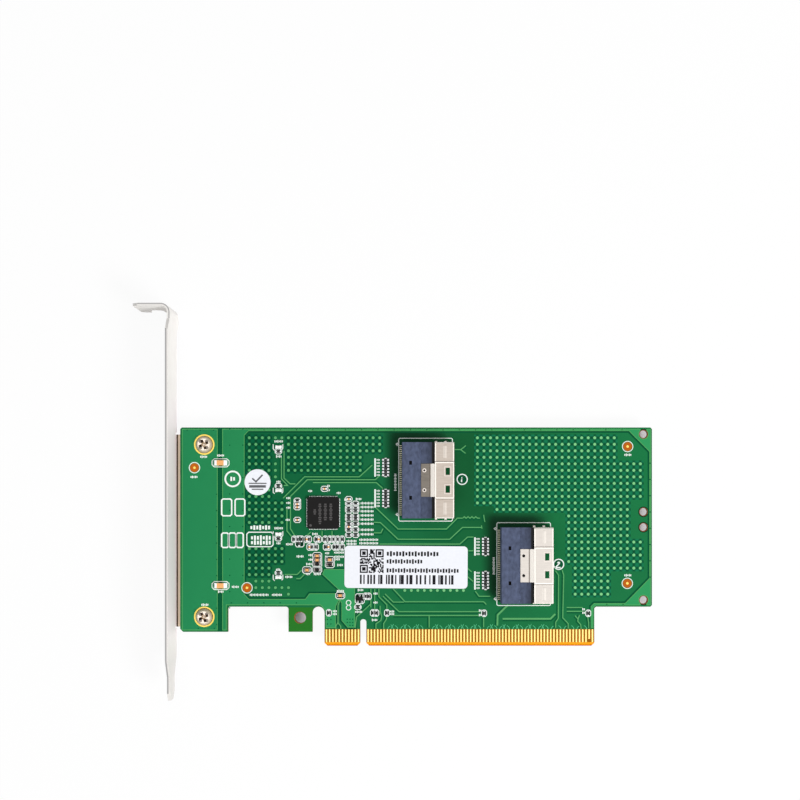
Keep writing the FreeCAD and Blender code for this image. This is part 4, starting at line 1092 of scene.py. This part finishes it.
def with_holes(corners):
    """Outline with a round notch at each tooling hole on its border."""
    route = []
    radius = POUR_HOLE_D / 2
    for corner in corners:
        if corner not in POUR_HOLES:
            route.append(corner)
            continue
        x, border = corner
        y, start = POUR_HOLES[corner]
        turns = [math.radians(start - NOTCH_START - NOTCH_STEP * i) for i in range(NOTCH_POINTS)]
        arc = [(x + radius * math.cos(turn), y + radius * math.sin(turn)) for turn in turns]
        route += [(arc[0][0], border)] + arc + [(arc[-1][0], border)]
    return route


def plate(bm, corners, height):
    """Thin plate over an outline in millimetres; returns its top face."""
    face = bm.faces.new([bm.verts.new((x * MM, y * MM, FACE)) for x, y in corners])
    grown = bmesh.ops.extrude_face_region(bm, geom=[face], use_keep_orig=True)["geom"]
    bmesh.ops.translate(bm, verts=kind_of(grown, bmesh.types.BMVert), vec=(0, 0, height))
    return kind_of(grown, bmesh.types.BMFace)[0]


def wall(bm, edges, width, height):
    """Wall of a width and height on a row of edges."""
    grown = bmesh.ops.extrude_edge_only(bm, edges=edges)["geom"]
    bmesh.ops.translate(bm, verts=kind_of(grown, bmesh.types.BMVert), vec=(0, 0, height))
    bmesh.ops.solidify(bm, geom=kind_of(grown, bmesh.types.BMFace), thickness=width)


def line(bm, points, width, height, closed=False, base=FACE):
    """Raised line along points in millimetres."""
    verts = [bm.verts.new((x * MM, y * MM, base)) for x, y in points]
    pairs = list(zip(verts, verts[1:]))
    if closed:
        pairs.append((verts[-1], verts[0]))
    wall(bm, [bm.edges.new(pair) for pair in pairs], width, height)


def ring(bm, x, y, diameter, width, height, segments=32, base=FACE):
    """Raised ring with an outer diameter."""
    matrix = Matrix.Translation((x * MM, y * MM, base))
    verts = bmesh.ops.create_circle(bm, segments=segments, radius=diameter / 2, matrix=matrix)["verts"]
    wall(bm, list({edge for vert in verts for edge in vert.link_edges}), width, height)


def disc(bm, x, y, diameter, height, segments=24, top=None, base=FACE):
    """Raised disc, narrower at its top where a top width is given; returns its faces."""
    matrix = Matrix.Translation((x * MM, y * MM, base + height / 2))
    made = bmesh.ops.create_cone(
        bm, cap_ends=True, segments=segments, radius1=diameter / 2, radius2=(top or diameter) / 2,
        depth=height, matrix=matrix @ Matrix.Rotation(math.pi / segments, 4, "Z"),
    )
    return {face for vert in made["verts"] for face in vert.link_faces}


def bar(bm, x, y, width, depth, height, base=FACE):
    """Raised block with its middle at a place in millimetres."""
    matrix = Matrix.Translation((x * MM, y * MM, base + height / 2))
    size = Matrix.Diagonal((width, depth, height, 1.0))
    return bmesh.ops.create_cube(bm, size=1.0, matrix=matrix @ size)["verts"]


def ticks(bm, x, y, count, turn=0, scale=1.0, base=FACE, height=None):
    """Row of printed ticks with uneven heights, from its left end."""
    s = sizes()
    step = (s.tick_w + s.tick_gap) / MM * scale
    verts = []
    for i in range(count):
        tall = s.tick_h * scale * TICK_HEIGHTS[(i * TICK_STEP + count) % len(TICK_HEIGHTS)]
        verts += bar(bm, x + (i + 0.5) * step, y, s.tick_w * scale, tall, height or s.print_h, base)
    turn_about(bm, verts, x, y, turn)


def turn_about(bm, verts, x, y, degrees):
    """Turns vertices about an upright axis at a place in millimetres."""
    turn = Matrix.Rotation(math.radians(degrees), 3, "Z")
    bmesh.ops.rotate(bm, verts=verts, cent=(x * MM, y * MM, 0), matrix=turn)


def box_corners(left, low, right, high):
    """Outline of a rectangle."""
    return ((left, low), (right, low), (right, high), (left, high))


def cut_corners(left, low, right, high, cut):
    """Outline of a rectangle with its corners cut off."""
    return ((left + cut, low), (right - cut, low), (right, low + cut), (right, high - cut),
            (right - cut, high), (left + cut, high), (left, high - cut), (left, low + cut))


def frame_line(bm, left, low, right, high, cut, width, height):
    """Printed frame with its corners cut off."""
    line(bm, cut_corners(left, low, right, high, cut), width, height, closed=True)


def frame_plate(bm, left, low, right, high, cut, height):
    """Thin plate with its corners cut off."""
    plate(bm, cut_corners(left, low, right, high, cut), height)


def islands(node):
    """Lowest and highest corner of each separate solid in a node."""
    bm = bmesh.new()
    bm.from_mesh(frame["nodes"][node].data)
    bmesh.ops.remove_doubles(bm, verts=bm.verts, dist=0.0001 * MM)
    left = set(bm.verts)
    boxes = []
    while left:
        heap = [left.pop()]
        island = []
        while heap:
            vert = heap.pop()
            island.append(vert.co.copy())
            near = {edge.other_vert(vert) for edge in vert.link_edges} & left
            left -= near
            heap += near
        low = Vector(min(co[i] for co in island) for i in range(3))
        high = Vector(max(co[i] for co in island) for i in range(3))
        boxes.append((low, high))
    bm.free()
    return boxes


def footprints(nodes, reach):
    """Rectangles in millimetres round the parts of some nodes that stand closer together than a reach."""
    found = []
    for node in nodes:
        for low, high in islands(node):
            box = (low.x / MM, low.y / MM, high.x / MM, high.y / MM)
            near = True
            while near:
                near = [other for other in found if close(box, other, reach)]
                found = [other for other in found if other not in near]
                lefts, lows, rights, highs = zip(box, *near)
                box = (min(lefts), min(lows), max(rights), max(highs))
            found.append(box)
    return found


def close(first, second, reach):
    """Whether two rectangles stand closer together than a reach."""
    apart_x = max(first[0], second[0]) - min(first[2], second[2])
    apart_y = max(first[1], second[1]) - min(first[3], second[3])
    return max(apart_x, apart_y) < reach


def middle_mm(low, high):
    """Middle of a box, in millimetres."""
    return (low + high) / 2 / MM


def lies_along_x(box, others):
    """Whether the nearest of the other solids stands beside a solid along X."""
    middle = (box[0] + box[1]) / 2
    aways = [(low + high) / 2 - middle for low, high in others]
    near = min(aways, key=lambda away: away.length)
    return abs(near.x) > abs(near.y)


class CARD_OT_finishes(bpy.types.Operator):
    """Give every solid of the card its finish"""
    bl_idname = "card.finishes"
    bl_label = "Finishes"

    def execute(self, context):
        FINISHES.update(make_finishes())
        for subpart in frame["record"]["subparts"]:
            mesh = frame["nodes"][subpart["node"]].data
            mesh.materials.clear()
            finish = NODE_FINISHES.get(subpart["node"], SLOT_FINISHES[subpart["material_slot"]])
            mesh.materials.append(FINISHES[finish])
        return {"FINISHED"}


class CARD_OT_pours(bpy.types.Operator):
    """Lay the copper pours and the groove between them"""
    bl_idname = "card.pours"
    bl_label = "Copper pours"

    def execute(self, context):
        s = sizes()
        bm = bmesh.new()
        for corners in (BRACKET_POUR, GROUND_POUR, SUPPLY_POUR):
            top = plate(bm, with_holes(corners), s.pour_h)
            rim = bmesh.ops.inset_region(bm, faces=[top], thickness=s.pour_edge, use_even_offset=True)
            for face in rim["faces"]:
                face.material_index = 1
        keep("copper_pours", bm, "board", "pour", "pour_edge")
        bm = bmesh.new()
        plate(bm, GROOVE, s.groove_h)
        keep("ground_groove", bm, "board", "groove")
        # Dark line along the inner border of each pour: painted shade
        bm = bmesh.new()
        line(bm, GROUND_INNER, s.pour_shade, s.pour_shade_h)
        line(bm, SUPPLY_POUR, s.pour_shade, s.pour_shade_h, True)
        keep("pour_shades", bm, "board", "pour_shade")
        return {"FINISHED"}


class CARD_OT_dots(bpy.types.Operator):
    """Fill the dot fields of the component face"""
    bl_idname = "card.dots"
    bl_label = "Dot fields"

    def execute(self, context):
        s = sizes()
        pitch = s.dot_pitch / MM
        start_x, start_y = DOT_FIRST
        bm = bmesh.new()
        for first, last, top, bottom in DOT_FIELDS:
            if (last - first + 1) * (bottom - top + 1) < FIELD_LEAST:
                continue
            left = start_x + (first - 0.5) * pitch
            right = start_x + (last + 0.5) * pitch
            low = start_y - (bottom + 0.5) * pitch
            high = start_y - (top - 0.5) * pitch
            plate(bm, box_corners(left, low, right, high), s.groove_h)
        keep("field_mask", bm, "board", "field")
        places = [(DOT_ROW_FIRST[0] + i * pitch, DOT_ROW_FIRST[1]) for i in range(DOT_ROW_COUNT)]
        for first, last, top, bottom in DOT_FIELDS:
            for i in range(first, last + 1):
                places += [(start_x + i * pitch, start_y - j * pitch) for j in range(top, bottom + 1)]
        bm = bmesh.new()
        for x, y in places:
            for face in disc(bm, x, y, s.dot_base, s.pour_h, segments=8, top=s.dot_d):
                face.normal_update()
                face.material_index = 0 if face.normal.z > DOT_TOP_ABOVE else 1
        keep("field_dots", bm, "board", "dot", "halo")
        return {"FINISHED"}


class CARD_OT_traces(bpy.types.Operator):
    """Run the traces under the mask, with their vias"""
    bl_idname = "card.traces"
    bl_label = "Traces and vias"

    def execute(self, context):
        s = sizes()
        bare = bmesh.new()
        bm = bmesh.new()
        fine = LAMP_TRACES + CHIP_TRACES + PORT_TRACES + EDGE_TRACES
        step = 0.0
        for routes, width in ((fine, s.trace_w), (BROAD_TRACES, s.broad_w)):
            for points in routes:
                step += s.layer
                line(bm, points, width, s.trace_h + step)
                line(bare, points, width + s.clearance, s.groove_h + step)
        keep("traces", bm, "board", "trace")
        keep("trace_clearances", bare, "board", "groove")
        bm = bmesh.new()
        for middle in LOOP_MIDDLES + OPEN_LOOP_MIDDLES:
            shapes = [LOOP_SIDE] if middle in OPEN_LOOP_MIDDLES else [LOOP_SIDE, LOOP_CROSS]
            for shape in shapes:
                for side in (-1, 1):
                    line(bm, [(middle + side * a, b) for a, b in shape], s.loop_w, s.trace_h)
        keep("contact_loops", bm, "board", "loop")
        bm = bmesh.new()
        for (x, y), (dx, dy), count in VIA_ROWS:
            for i in range(count):
                disc(bm, x + i * dx, y + i * dy, s.via_d, s.pour_h + s.groove_h, segments=8)
        keep("vias", bm, "board", "groove")
        return {"FINISHED"}


class CARD_OT_targets(bpy.types.Operator):
    """Set the camera targets and the gold rings under the screws"""
    bl_idname = "card.targets"
    bl_label = "Targets and screw rings"

    def execute(self, context):
        s = sizes()
        bare = bmesh.new()
        gold = bmesh.new()
        dark = bmesh.new()
        white = bmesh.new()
        for x, y in TARGETS:
            disc(bare, x, y, s.target_d, s.print_h)
            disc(gold, x, y, s.target_dot, s.print_h * DOT_RISE, segments=16)
            ring(white, x, y, s.target_ring, s.outline_w, s.print_h)
        low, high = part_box("bracket_screws")
        head = high.x - low.x
        for x, y in SCREWS:
            ring(gold, x, y, s.screw_ring, s.screw_ring / 2 - SCREW_RING_INNER * MM, s.print_h)
            # Dark ring round each screw head: painted shadow
            ring(dark, x, y, head + s.print_w, s.print_w, s.print_h * SHADOW_RING_RISE)
        keep("target_laminate", bare, "board", "target")
        keep("gold_rings", gold, "gold", "gold")
        keep("screw_shadow_rings", dark, "gold", "seat")
        keep("target_rings", white, "label_paper", "ink")
        return {"FINISHED"}


class CARD_OT_port_print(bpy.types.Operator):
    """Print the outlines and numbers of the cable ports"""
    bl_idname = "card.port_print"
    bl_label = "Port print"

    def execute(self, context):
        s = sizes()
        bm = bmesh.new()
        dark = bmesh.new()
        for number, (x, y) in enumerate(PORT_NUMBERS, 1):
            low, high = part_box("port_%d_housing" % number)
            left = low.x / MM + PORT_LEFT
            right = low.x / MM + PORT_RIGHT
            bottom = low.y / MM + PORT_LOW
            top = high.y / MM + PORT_HIGH
            corners = cut_corners(left, bottom, right, top, PORT_CUT)
            around = corners[3:] + corners[:3]
            outline = ((right, top - PORT_RETURN),) + around + ((right, bottom + PORT_RETURN),)
            line(bm, outline[::-1], s.print_w, s.print_h)
            for mark in (bottom + DIAMOND_LOW, top + DIAMOND_HIGH):
                diamond = [(left + out, mark + up) for out, up in DIAMOND]
                line(bm, diamond, s.print_w, s.print_h, closed=True)
            ring(bm, x, y, s.number_ring, s.print_w * NUMBER_RING_LINE, s.print_h)
            disc(dark, x, y, s.number_ring, s.pour_h + s.groove_h)
            figure = FIGURE_ONE if number == 1 else FIGURE_TWO
            line(bm, [(x + a, y + b) for a, b in figure], s.print_w * FIGURE_LINE, s.print_h)
        keep("port_print", bm, "label_paper", "ink")
        keep("number_shades", dark, "board", "halo")
        return {"FINISHED"}


class CARD_OT_part_print(bpy.types.Operator):
    """Print the bars, frames and ticks beside the parts"""
    bl_idname = "card.part_print"
    bl_label = "Part print"

    def execute(self, context):
        s = sizes()
        bm = bmesh.new()
        dark = bmesh.new()
        # Dark plates round the outlined parts and the rows of coupling parts: painted shadow
        shade_h = s.pour_h + s.groove_h
        for nodes, gap in OUTLINED:
            for left, low, right, high in footprints(nodes, NEIGHBOURS):
                box = (left - gap, low - gap, right + gap, high + gap)
                frame_line(bm, *box, OUTLINE_CUT, s.outline_w, s.print_h)
                frame_plate(dark, *box, OUTLINE_CUT, shade_h)
        along, across = COUPLING_REACH
        for left, low, right, high in footprints(("coupling_bodies", "coupling_ends"), COUPLING_GAP):
            box = (left - along, low - across, right + along, high + across)
            frame_plate(dark, *box, COUPLING_CUT, shade_h)
        keep("part_shades", dark, "board", "part_shade")
        for x, y, width in SUPPLY_RINGS:
            ring(bm, x, y, width * MM, s.print_w, s.print_h)
        print_by_couplings(bm)
        print_by_lamps(bm)
        print_by_bridges(bm)
        for x, y, count in TICK_LABELS:
            ticks(bm, x, y, count)
        for x, y, count in UPRIGHT_TICKS:
            ticks(bm, x, y, count, turn=90)
        keep("part_print", bm, "label_paper", "ink")
        return {"FINISHED"}


def print_by_couplings(bm):
    """Bars between the coupling parts, and a bar and ticks beside each."""
    s = sizes()
    wide, tall = COUPLING_BAR
    outer_wide, outer_tall = COUPLING_OUTER_BAR
    ticks_left, count, scale = COUPLING_TICKS
    for body in islands("coupling_bodies"):
        middle = middle_mm(*body)
        for side in (-1, 1):
            bar(bm, middle.x, middle.y + side * COUPLING_STEP / 2, wide * MM, tall * MM, s.print_h)
        bar(bm, middle.x + COUPLING_OUTER, middle.y, outer_wide * MM, outer_tall * MM, s.print_h)
        ticks(bm, middle.x + ticks_left, middle.y, count, scale=scale)


def print_by_lamps(bm):
    """A hook on each side of the status lamps."""
    s = sizes()
    for body in islands("status_lamp_bodies"):
        middle = middle_mm(*body)
        for side in (-1, 1):
            hook = [(middle.x + side * out, middle.y + up) for out, up in LAMP_HOOK]
            line(bm, hook, s.print_w, s.print_h)


def print_by_bridges(bm):
    """A frame round each bridge capacitor."""
    s = sizes()
    out, up, cut = BRIDGE_FRAME
    for body in islands("bridge_capacitor_bodies"):
        middle = middle_mm(*body)
        box = (middle.x - out, middle.y - up, middle.x + out, middle.y + up)
        frame_line(bm, *box, cut, s.outline_w, s.print_h)


class CARD_OT_plain_print(bpy.types.Operator):
    """Print the plain shapes on the ground pour"""
    bl_idname = "card.plain_print"
    bl_label = "Plain print"

    def execute(self, context):
        s = sizes()
        bm = bmesh.new()
        x, y, across = PLAIN_RING
        ring(bm, x, y, across * MM, s.print_w * PLAIN_RING_LINE, s.print_h)
        left, count, scale = RING_TICKS
        ticks(bm, x + left, y, count, scale=scale)
        for box in PLAIN_BOXES:
            frame_line(bm, *box, PLAIN_BOX_CUT, s.print_w * PLAIN_BOX_LINE, s.print_h)
        frame_line(bm, *PLAIN_FRAME, PLAIN_FRAME_CUT, s.print_w * PLAIN_FRAME_LINE, s.print_h)
        for left, middle, count in BIG_TICKS:
            ticks(bm, left, middle, count, scale=BIG_TICK_SCALE)
        keep("plain_print", bm, "label_paper", "ink")
        return {"FINISHED"}


class CARD_OT_label_print(bpy.types.Operator):
    """Print the label and the round sticker"""
    bl_idname = "card.label_print"
    bl_label = "Label print"

    def execute(self, context):
        s = sizes()
        draw = random.Random(DRAW_SEED)
        low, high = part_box("label")
        middle = middle_mm(low, high)
        bm = bmesh.new()
        for column in range(CODE_SIDE):
            for row in range(CODE_SIDE):
                if code_cell(column, row, draw):
                    x = middle.x + CODE_LEFT + (column + 0.5) * CODE_CELL
                    y = middle.y + CODE_LOW + (row + 0.5) * CODE_CELL
                    bar(bm, x, y, CODE_INK * MM, CODE_INK * MM, s.stamp_h, high.z)
        left, right, foot, head = BAR_STRIP
        x = left
        while x < right:
            wide = draw.choice(BAR_WIDTHS)
            y = middle.y + (foot + head) / 2
            bar(bm, middle.x + x, y, wide * MM, (head - foot) * MM, s.stamp_h, high.z)
            x += wide + draw.choice(BAR_GAPS)
        for left, up, count, scale in LABEL_LINES:
            row = (middle.x + left, middle.y + up, count)
            ticks(bm, *row, scale=scale, base=high.z, height=s.stamp_h)
        turn_about(bm, bm.verts, middle.x, middle.y, LABEL_TURN)
        keep("label_print", bm, "chip_plastic", "paper_ink")
        low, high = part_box("round_sticker")
        middle = middle_mm(low, high)
        bm = bmesh.new()
        check = [(middle.x + x, middle.y + y) for x, y in STICKER_CHECK]
        line(bm, check, s.print_w * STICKER_CHECK_LINE, s.stamp_h, base=high.z)
        for up, wide, tall in STICKER_BARS:
            bar(bm, middle.x, middle.y + up, wide * MM, tall * MM, s.stamp_h, high.z)
        keep("sticker_print", bm, "chip_plastic", "stamp")
        return {"FINISHED"}


def code_cell(column, row, draw):
    """Whether a cell of the square code is dark: three nested corner squares, the rest by chance."""
    half = CODE_CORNER_HALF
    for left, low in CODE_CORNERS:
        out = max(abs(column - left - half), abs(row - low - half))
        if out <= half:
            return out != half - 1
        if out == half + 1:
            return False
    return draw.random() < CODE_SHARE


class CARD_OT_chip_print(bpy.types.Operator):
    """Print faint rows of ticks and a dot on the chip"""
    bl_idname = "card.chip_print"
    bl_label = "Chip print"

    def execute(self, context):
        s = sizes()
        low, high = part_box("chip_body")
        middle = middle_mm(low, high)
        bm = bmesh.new()
        for left, start, count in CHIP_ROWS:
            row = (middle.x + left, middle.y + start, count)
            ticks(bm, *row, turn=90, scale=CHIP_TICK_SCALE, base=high.z, height=s.stamp_h)
        x, y, width = CHIP_DOT
        disc(bm, middle.x + x, middle.y + y, width * MM, s.stamp_h, segments=16, base=high.z)
        keep("chip_print", bm, "chip_plastic", "chip_ink")
        return {"FINISHED"}


class CARD_OT_solder(bpy.types.Operator):
    """Set solder round the ends of the parts"""
    bl_idname = "card.solder"
    bl_label = "Solder"

    def execute(self, context):
        s = sizes()
        bm = bmesh.new()
        for node, bodies, along, across in SOLDER:
            others = islands(bodies)
            for low, high in islands(node):
                middle = middle_mm(low, high)
                span = high - low
                out = (along, across) if lies_along_x((low, high), others) else (across, along)
                wide = span.x + 2 * out[0] * MM
                deep = span.y + 2 * out[1] * MM
                verts = bar(bm, middle.x, middle.y, wide, deep, s.solder_h)
                tops = [vert for vert in verts if vert.co.z > FACE + s.solder_h / 2]
                space = Matrix.Translation((-middle.x * MM, -middle.y * MM, 0))
                bmesh.ops.scale(bm, verts=tops, vec=(SOLDER_TOP, SOLDER_TOP, 1.0), space=space)
        keep("solder", bm, "tin", "tin")
        return {"FINISHED"}


class CARD_OT_hood_details(bpy.types.Operator):
    """Press the dimples and window rims of the hoods, with painted highlight on the rims and painted shade
    in the dimples, and set the contacts in the card slots
    """
    bl_idname = "card.hood_details"
    bl_label = "Hood details"

    def execute(self, context):
        s = sizes()
        rims = bmesh.new()
        pit_shades = bmesh.new()
        contacts = bmesh.new()
        for port in (1, 2):
            low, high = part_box("port_%d_hood" % port)
            left = low.x / MM
            right = high.x / MM
            middle = (low.y + high.y) / 2 / MM
            strap = high.z - s.strap_drop
            window_left, window_right = WINDOW_SPAN
            for side in (-1, 1):
                place = (left + DIMPLE_BACK, middle + side * DIMPLE_OUT)
                if port == 1:
                    rim_w = s.dimple_d * DIMPLE_RIM
                    ring(rims, *place, s.dimple_d, rim_w, s.stamp_h, segments=20, base=strap)
                # Dark disc in each dimple: painted shade
                disc(pit_shades, *place, s.dimple_d * PIT_SHARES[port], s.stamp_h / 2, segments=16, base=strap)
                window_y = middle + side * WINDOW_OUT
                half = WINDOW_HALF + WINDOW_GAP
                ends = (right + window_left - WINDOW_GAP, right + window_right + WINDOW_GAP)
                rim = box_corners(ends[0], window_y - half, ends[1], window_y + half)
                line(rims, rim, s.window_rim, s.stamp_h, closed=True, base=high.z)
            slot_contacts(contacts, port)
        keep("hood_rims", rims, "hood_steel", "rim")
        keep("hood_pit_shades", pit_shades, "chip_plastic", "chip")
        keep("slot_contacts", contacts, "gold", "gold")
        return {"FINISHED"}


def slot_contacts(bm, port):
    """Contacts on the floor and the roof of a port's card slot."""
    s = sizes()
    low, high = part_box("port_%d_housing" % port)
    middle = (low.y + high.y) / 2 / MM
    slot_middle = FACE + SLOT_LIFT * MM
    half = SLOT_HALF * MM
    thick = SLOT_CONTACT_T * MM
    pitch = s.slot_contact_pitch / MM
    x = (high.x - s.slot_contact_l / 2) / MM - SLOT_INSET
    for i in range(SLOT_CONTACTS):
        y = middle + (i - (SLOT_CONTACTS - 1) / 2) * pitch
        for base in (slot_middle - half, slot_middle + half - thick):
            bar(bm, x, y, s.slot_contact_l, s.slot_contact_w, thick, base)


class CARD_OT_stage(bpy.types.Operator):
    """Set the floor, the lights and the camera"""
    bl_idname = "card.stage"
    bl_label = "Stage"

    def execute(self, context):
        stage = context.scene.card_stage
        make_floor(stage)
        make_world(stage)
        add_panel("overhead_panel", OVERHEAD_PLACE, OVERHEAD_W, stage.overhead)
        add_panel("side_panel", SIDE_PLACE, SIDE_W, stage.side)
        make_camera(stage)
        context.scene.view_settings.view_transform = "Standard"
        return {"FINISHED"}


def seen_directly(finish):
    """1 for rays that show the background: straight from the camera, mirrored or let through."""
    outputs = finish.node("ShaderNodeLightPath").socket.node.outputs
    names = ("Is Camera Ray", "Is Glossy Ray", "Is Transmission Ray")
    camera, glossy, through = (Signal(finish, outputs[name]) for name in names)
    return camera.math("MAXIMUM", glossy).math("MAXIMUM", through)


def floor_shade(finish, stage):
    """1 on the floor seen below the board, its hook tab and its open holes, with soft edges: there the floor
    shows its real shade and a painted shadow.
    """
    x, y = finish.axes()[:2]
    drop = (FACE - FLOOR) / stage.camera_height
    fade = FLOOR_FADE * MM

    def cast(place, middle):
        """Where a ray from the camera through a place on the board meets the floor."""
        return place + (place - middle) * drop

    def inside(value, start, end, middle):
        """1 on the floor below a stretch of the board."""
        start = cast(start, middle)
        end = cast(end, middle)
        return finish.step(value, start, start + fade) * (1.0 - finish.step(value, end - fade, end))

    low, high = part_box("board")
    edge = low.y + BARE_EDGE * MM
    below = inside(x, low.x, high.x, stage.camera_x) * inside(y, edge, high.y, stage.camera_y)
    hook = inside(x, HOOK_X[0] * MM, HOOK_X[1] * MM, stage.camera_x)
    hook = hook * inside(y, HOOK_Y[0] * MM, edge + 2 * fade, stage.camera_y)
    below = below.math("MAXIMUM", hook)
    for hole_x, hole_y, width in OPEN_HOLES:
        reach = squared(x - cast(hole_x * MM, stage.camera_x), y - cast(hole_y * MM, stage.camera_y))
        inner = width / 2 * MM
        outer = inner + HOLE_SHADE_RIM * MM
        below = below.math("MAXIMUM", 1.0 - finish.step(reach, inner ** 2, outer ** 2))
    return below


def make_floor(stage):
    """Plain pale floor that keeps part of the card's shadow, with a painted shadow below the board."""
    bm = bmesh.new()
    matrix = Matrix.Translation((CAD_BOX[0][0] / 2 + CAD_BOX[1][0] / 2, 0, FLOOR))
    bmesh.ops.create_grid(bm, x_segments=1, y_segments=1, size=stage.floor_side / 2, matrix=matrix)
    mesh = bpy.data.meshes.new("floor")
    bm.to_mesh(mesh)
    bm.free()
    finish = new_finish("floor_paper")
    c = colours()
    below = floor_shade(finish, stage)
    lit = finish.node("ShaderNodeBsdfDiffuse", inputs={"Color": c.floor})
    shaded = finish.node("ShaderNodeBsdfDiffuse", inputs={"Color": c.floor_shade})
    ground = finish.node("ShaderNodeMixShader", inputs={0: below, 1: lit, 2: shaded})
    white = finish.node("ShaderNodeEmission")
    share = seen_directly(finish) * (stage.white - below * (stage.white - stage.white_under))
    shader = finish.node("ShaderNodeMixShader", inputs={0: share, 1: ground, 2: white})
    finish.node("ShaderNodeOutputMaterial", inputs={"Surface": shader})
    mesh.materials.append(finish.material)
    floor = bpy.data.objects.new("floor", mesh)
    bpy.context.scene.collection.objects.link(floor)


def make_world(stage):
    """Even surroundings, plain white where they are seen."""
    world = bpy.data.worlds.new("surroundings")
    bpy.context.scene.world = world
    finish = Finish(world)
    seen = seen_directly(finish)
    strength = stage.world + seen * (1.0 - stage.world)
    light = finish.node("ShaderNodeBackground", inputs={"Strength": strength})
    finish.feed(light.socket.node.inputs["Color"], (1.0, 1.0, 1.0))
    finish.node("ShaderNodeOutputWorld", inputs={"Surface": light})


def add_panel(name, place, side, power):
    """Square soft panel that faces the card."""
    light = bpy.data.lights.new(name, "AREA")
    light.size = side
    light.energy = power
    panel = bpy.data.objects.new(name, light)
    panel.location = place
    aim = Vector(PANEL_AIM) - Vector(place)
    panel.rotation_euler = aim.to_track_quat("-Z", "Y").to_euler()
    bpy.context.scene.collection.objects.link(panel)


def make_camera(stage):
    """Camera that looks straight down on the card."""
    camera = bpy.data.cameras.new("camera")
    camera.lens = stage.lens
    camera.sensor_width = SENSOR_W
    camera.shift_x = stage.shift_x
    camera.shift_y = stage.shift_y
    camera.clip_start = CLIP_START
    rig = bpy.data.objects.new("camera", camera)
    rig.location = (stage.camera_x, stage.camera_y, FACE + stage.camera_height)
    bpy.context.scene.collection.objects.link(rig)
    bpy.context.scene.camera = rig


class CARD_PT_panel(bpy.types.Panel):
    """Steps of the adapter card's dressing"""
    bl_idname = "CARD_PT_panel"
    bl_label = "Adapter card"
    bl_space_type = "VIEW_3D"
    bl_region_type = "UI"
    bl_category = "Adapter card"

    def draw(self, context):
        for operator in OPERATORS:
            self.layout.operator(operator.bl_idname)


OPERATORS = (
    CARD_OT_stage, CARD_OT_finishes, CARD_OT_pours, CARD_OT_dots, CARD_OT_traces, CARD_OT_targets,
    CARD_OT_port_print, CARD_OT_part_print, CARD_OT_plain_print, CARD_OT_label_print, CARD_OT_chip_print,
    CARD_OT_solder, CARD_OT_hood_details,
)
GROUPS = {"card_sizes": CardSizes, "card_colours": CardColours, "card_stage": CardStage}


def register():
    for group in GROUPS.values():
        bpy.utils.register_class(group)
    for name, group in GROUPS.items():
        setattr(bpy.types.Scene, name, PointerProperty(type=group))
    for cls in OPERATORS + (CARD_PT_panel,):
        bpy.utils.register_class(cls)


def unregister():
    for cls in OPERATORS + (CARD_PT_panel,):
        bpy.utils.unregister_class(cls)
    for name, group in GROUPS.items():
        delattr(bpy.types.Scene, name)
        bpy.utils.unregister_class(group)


def main():
    register()
    bpy.ops.card.stage()
    bpy.ops.card.finishes()
    bpy.ops.card.pours()
    bpy.ops.card.dots()
    bpy.ops.card.traces()
    bpy.ops.card.targets()
    bpy.ops.card.port_print()
    bpy.ops.card.part_print()
    bpy.ops.card.plain_print()
    bpy.ops.card.label_print()
    bpy.ops.card.chip_print()
    bpy.ops.card.solder()
    bpy.ops.card.hood_details()


if __name__ == "__main__":
    main()
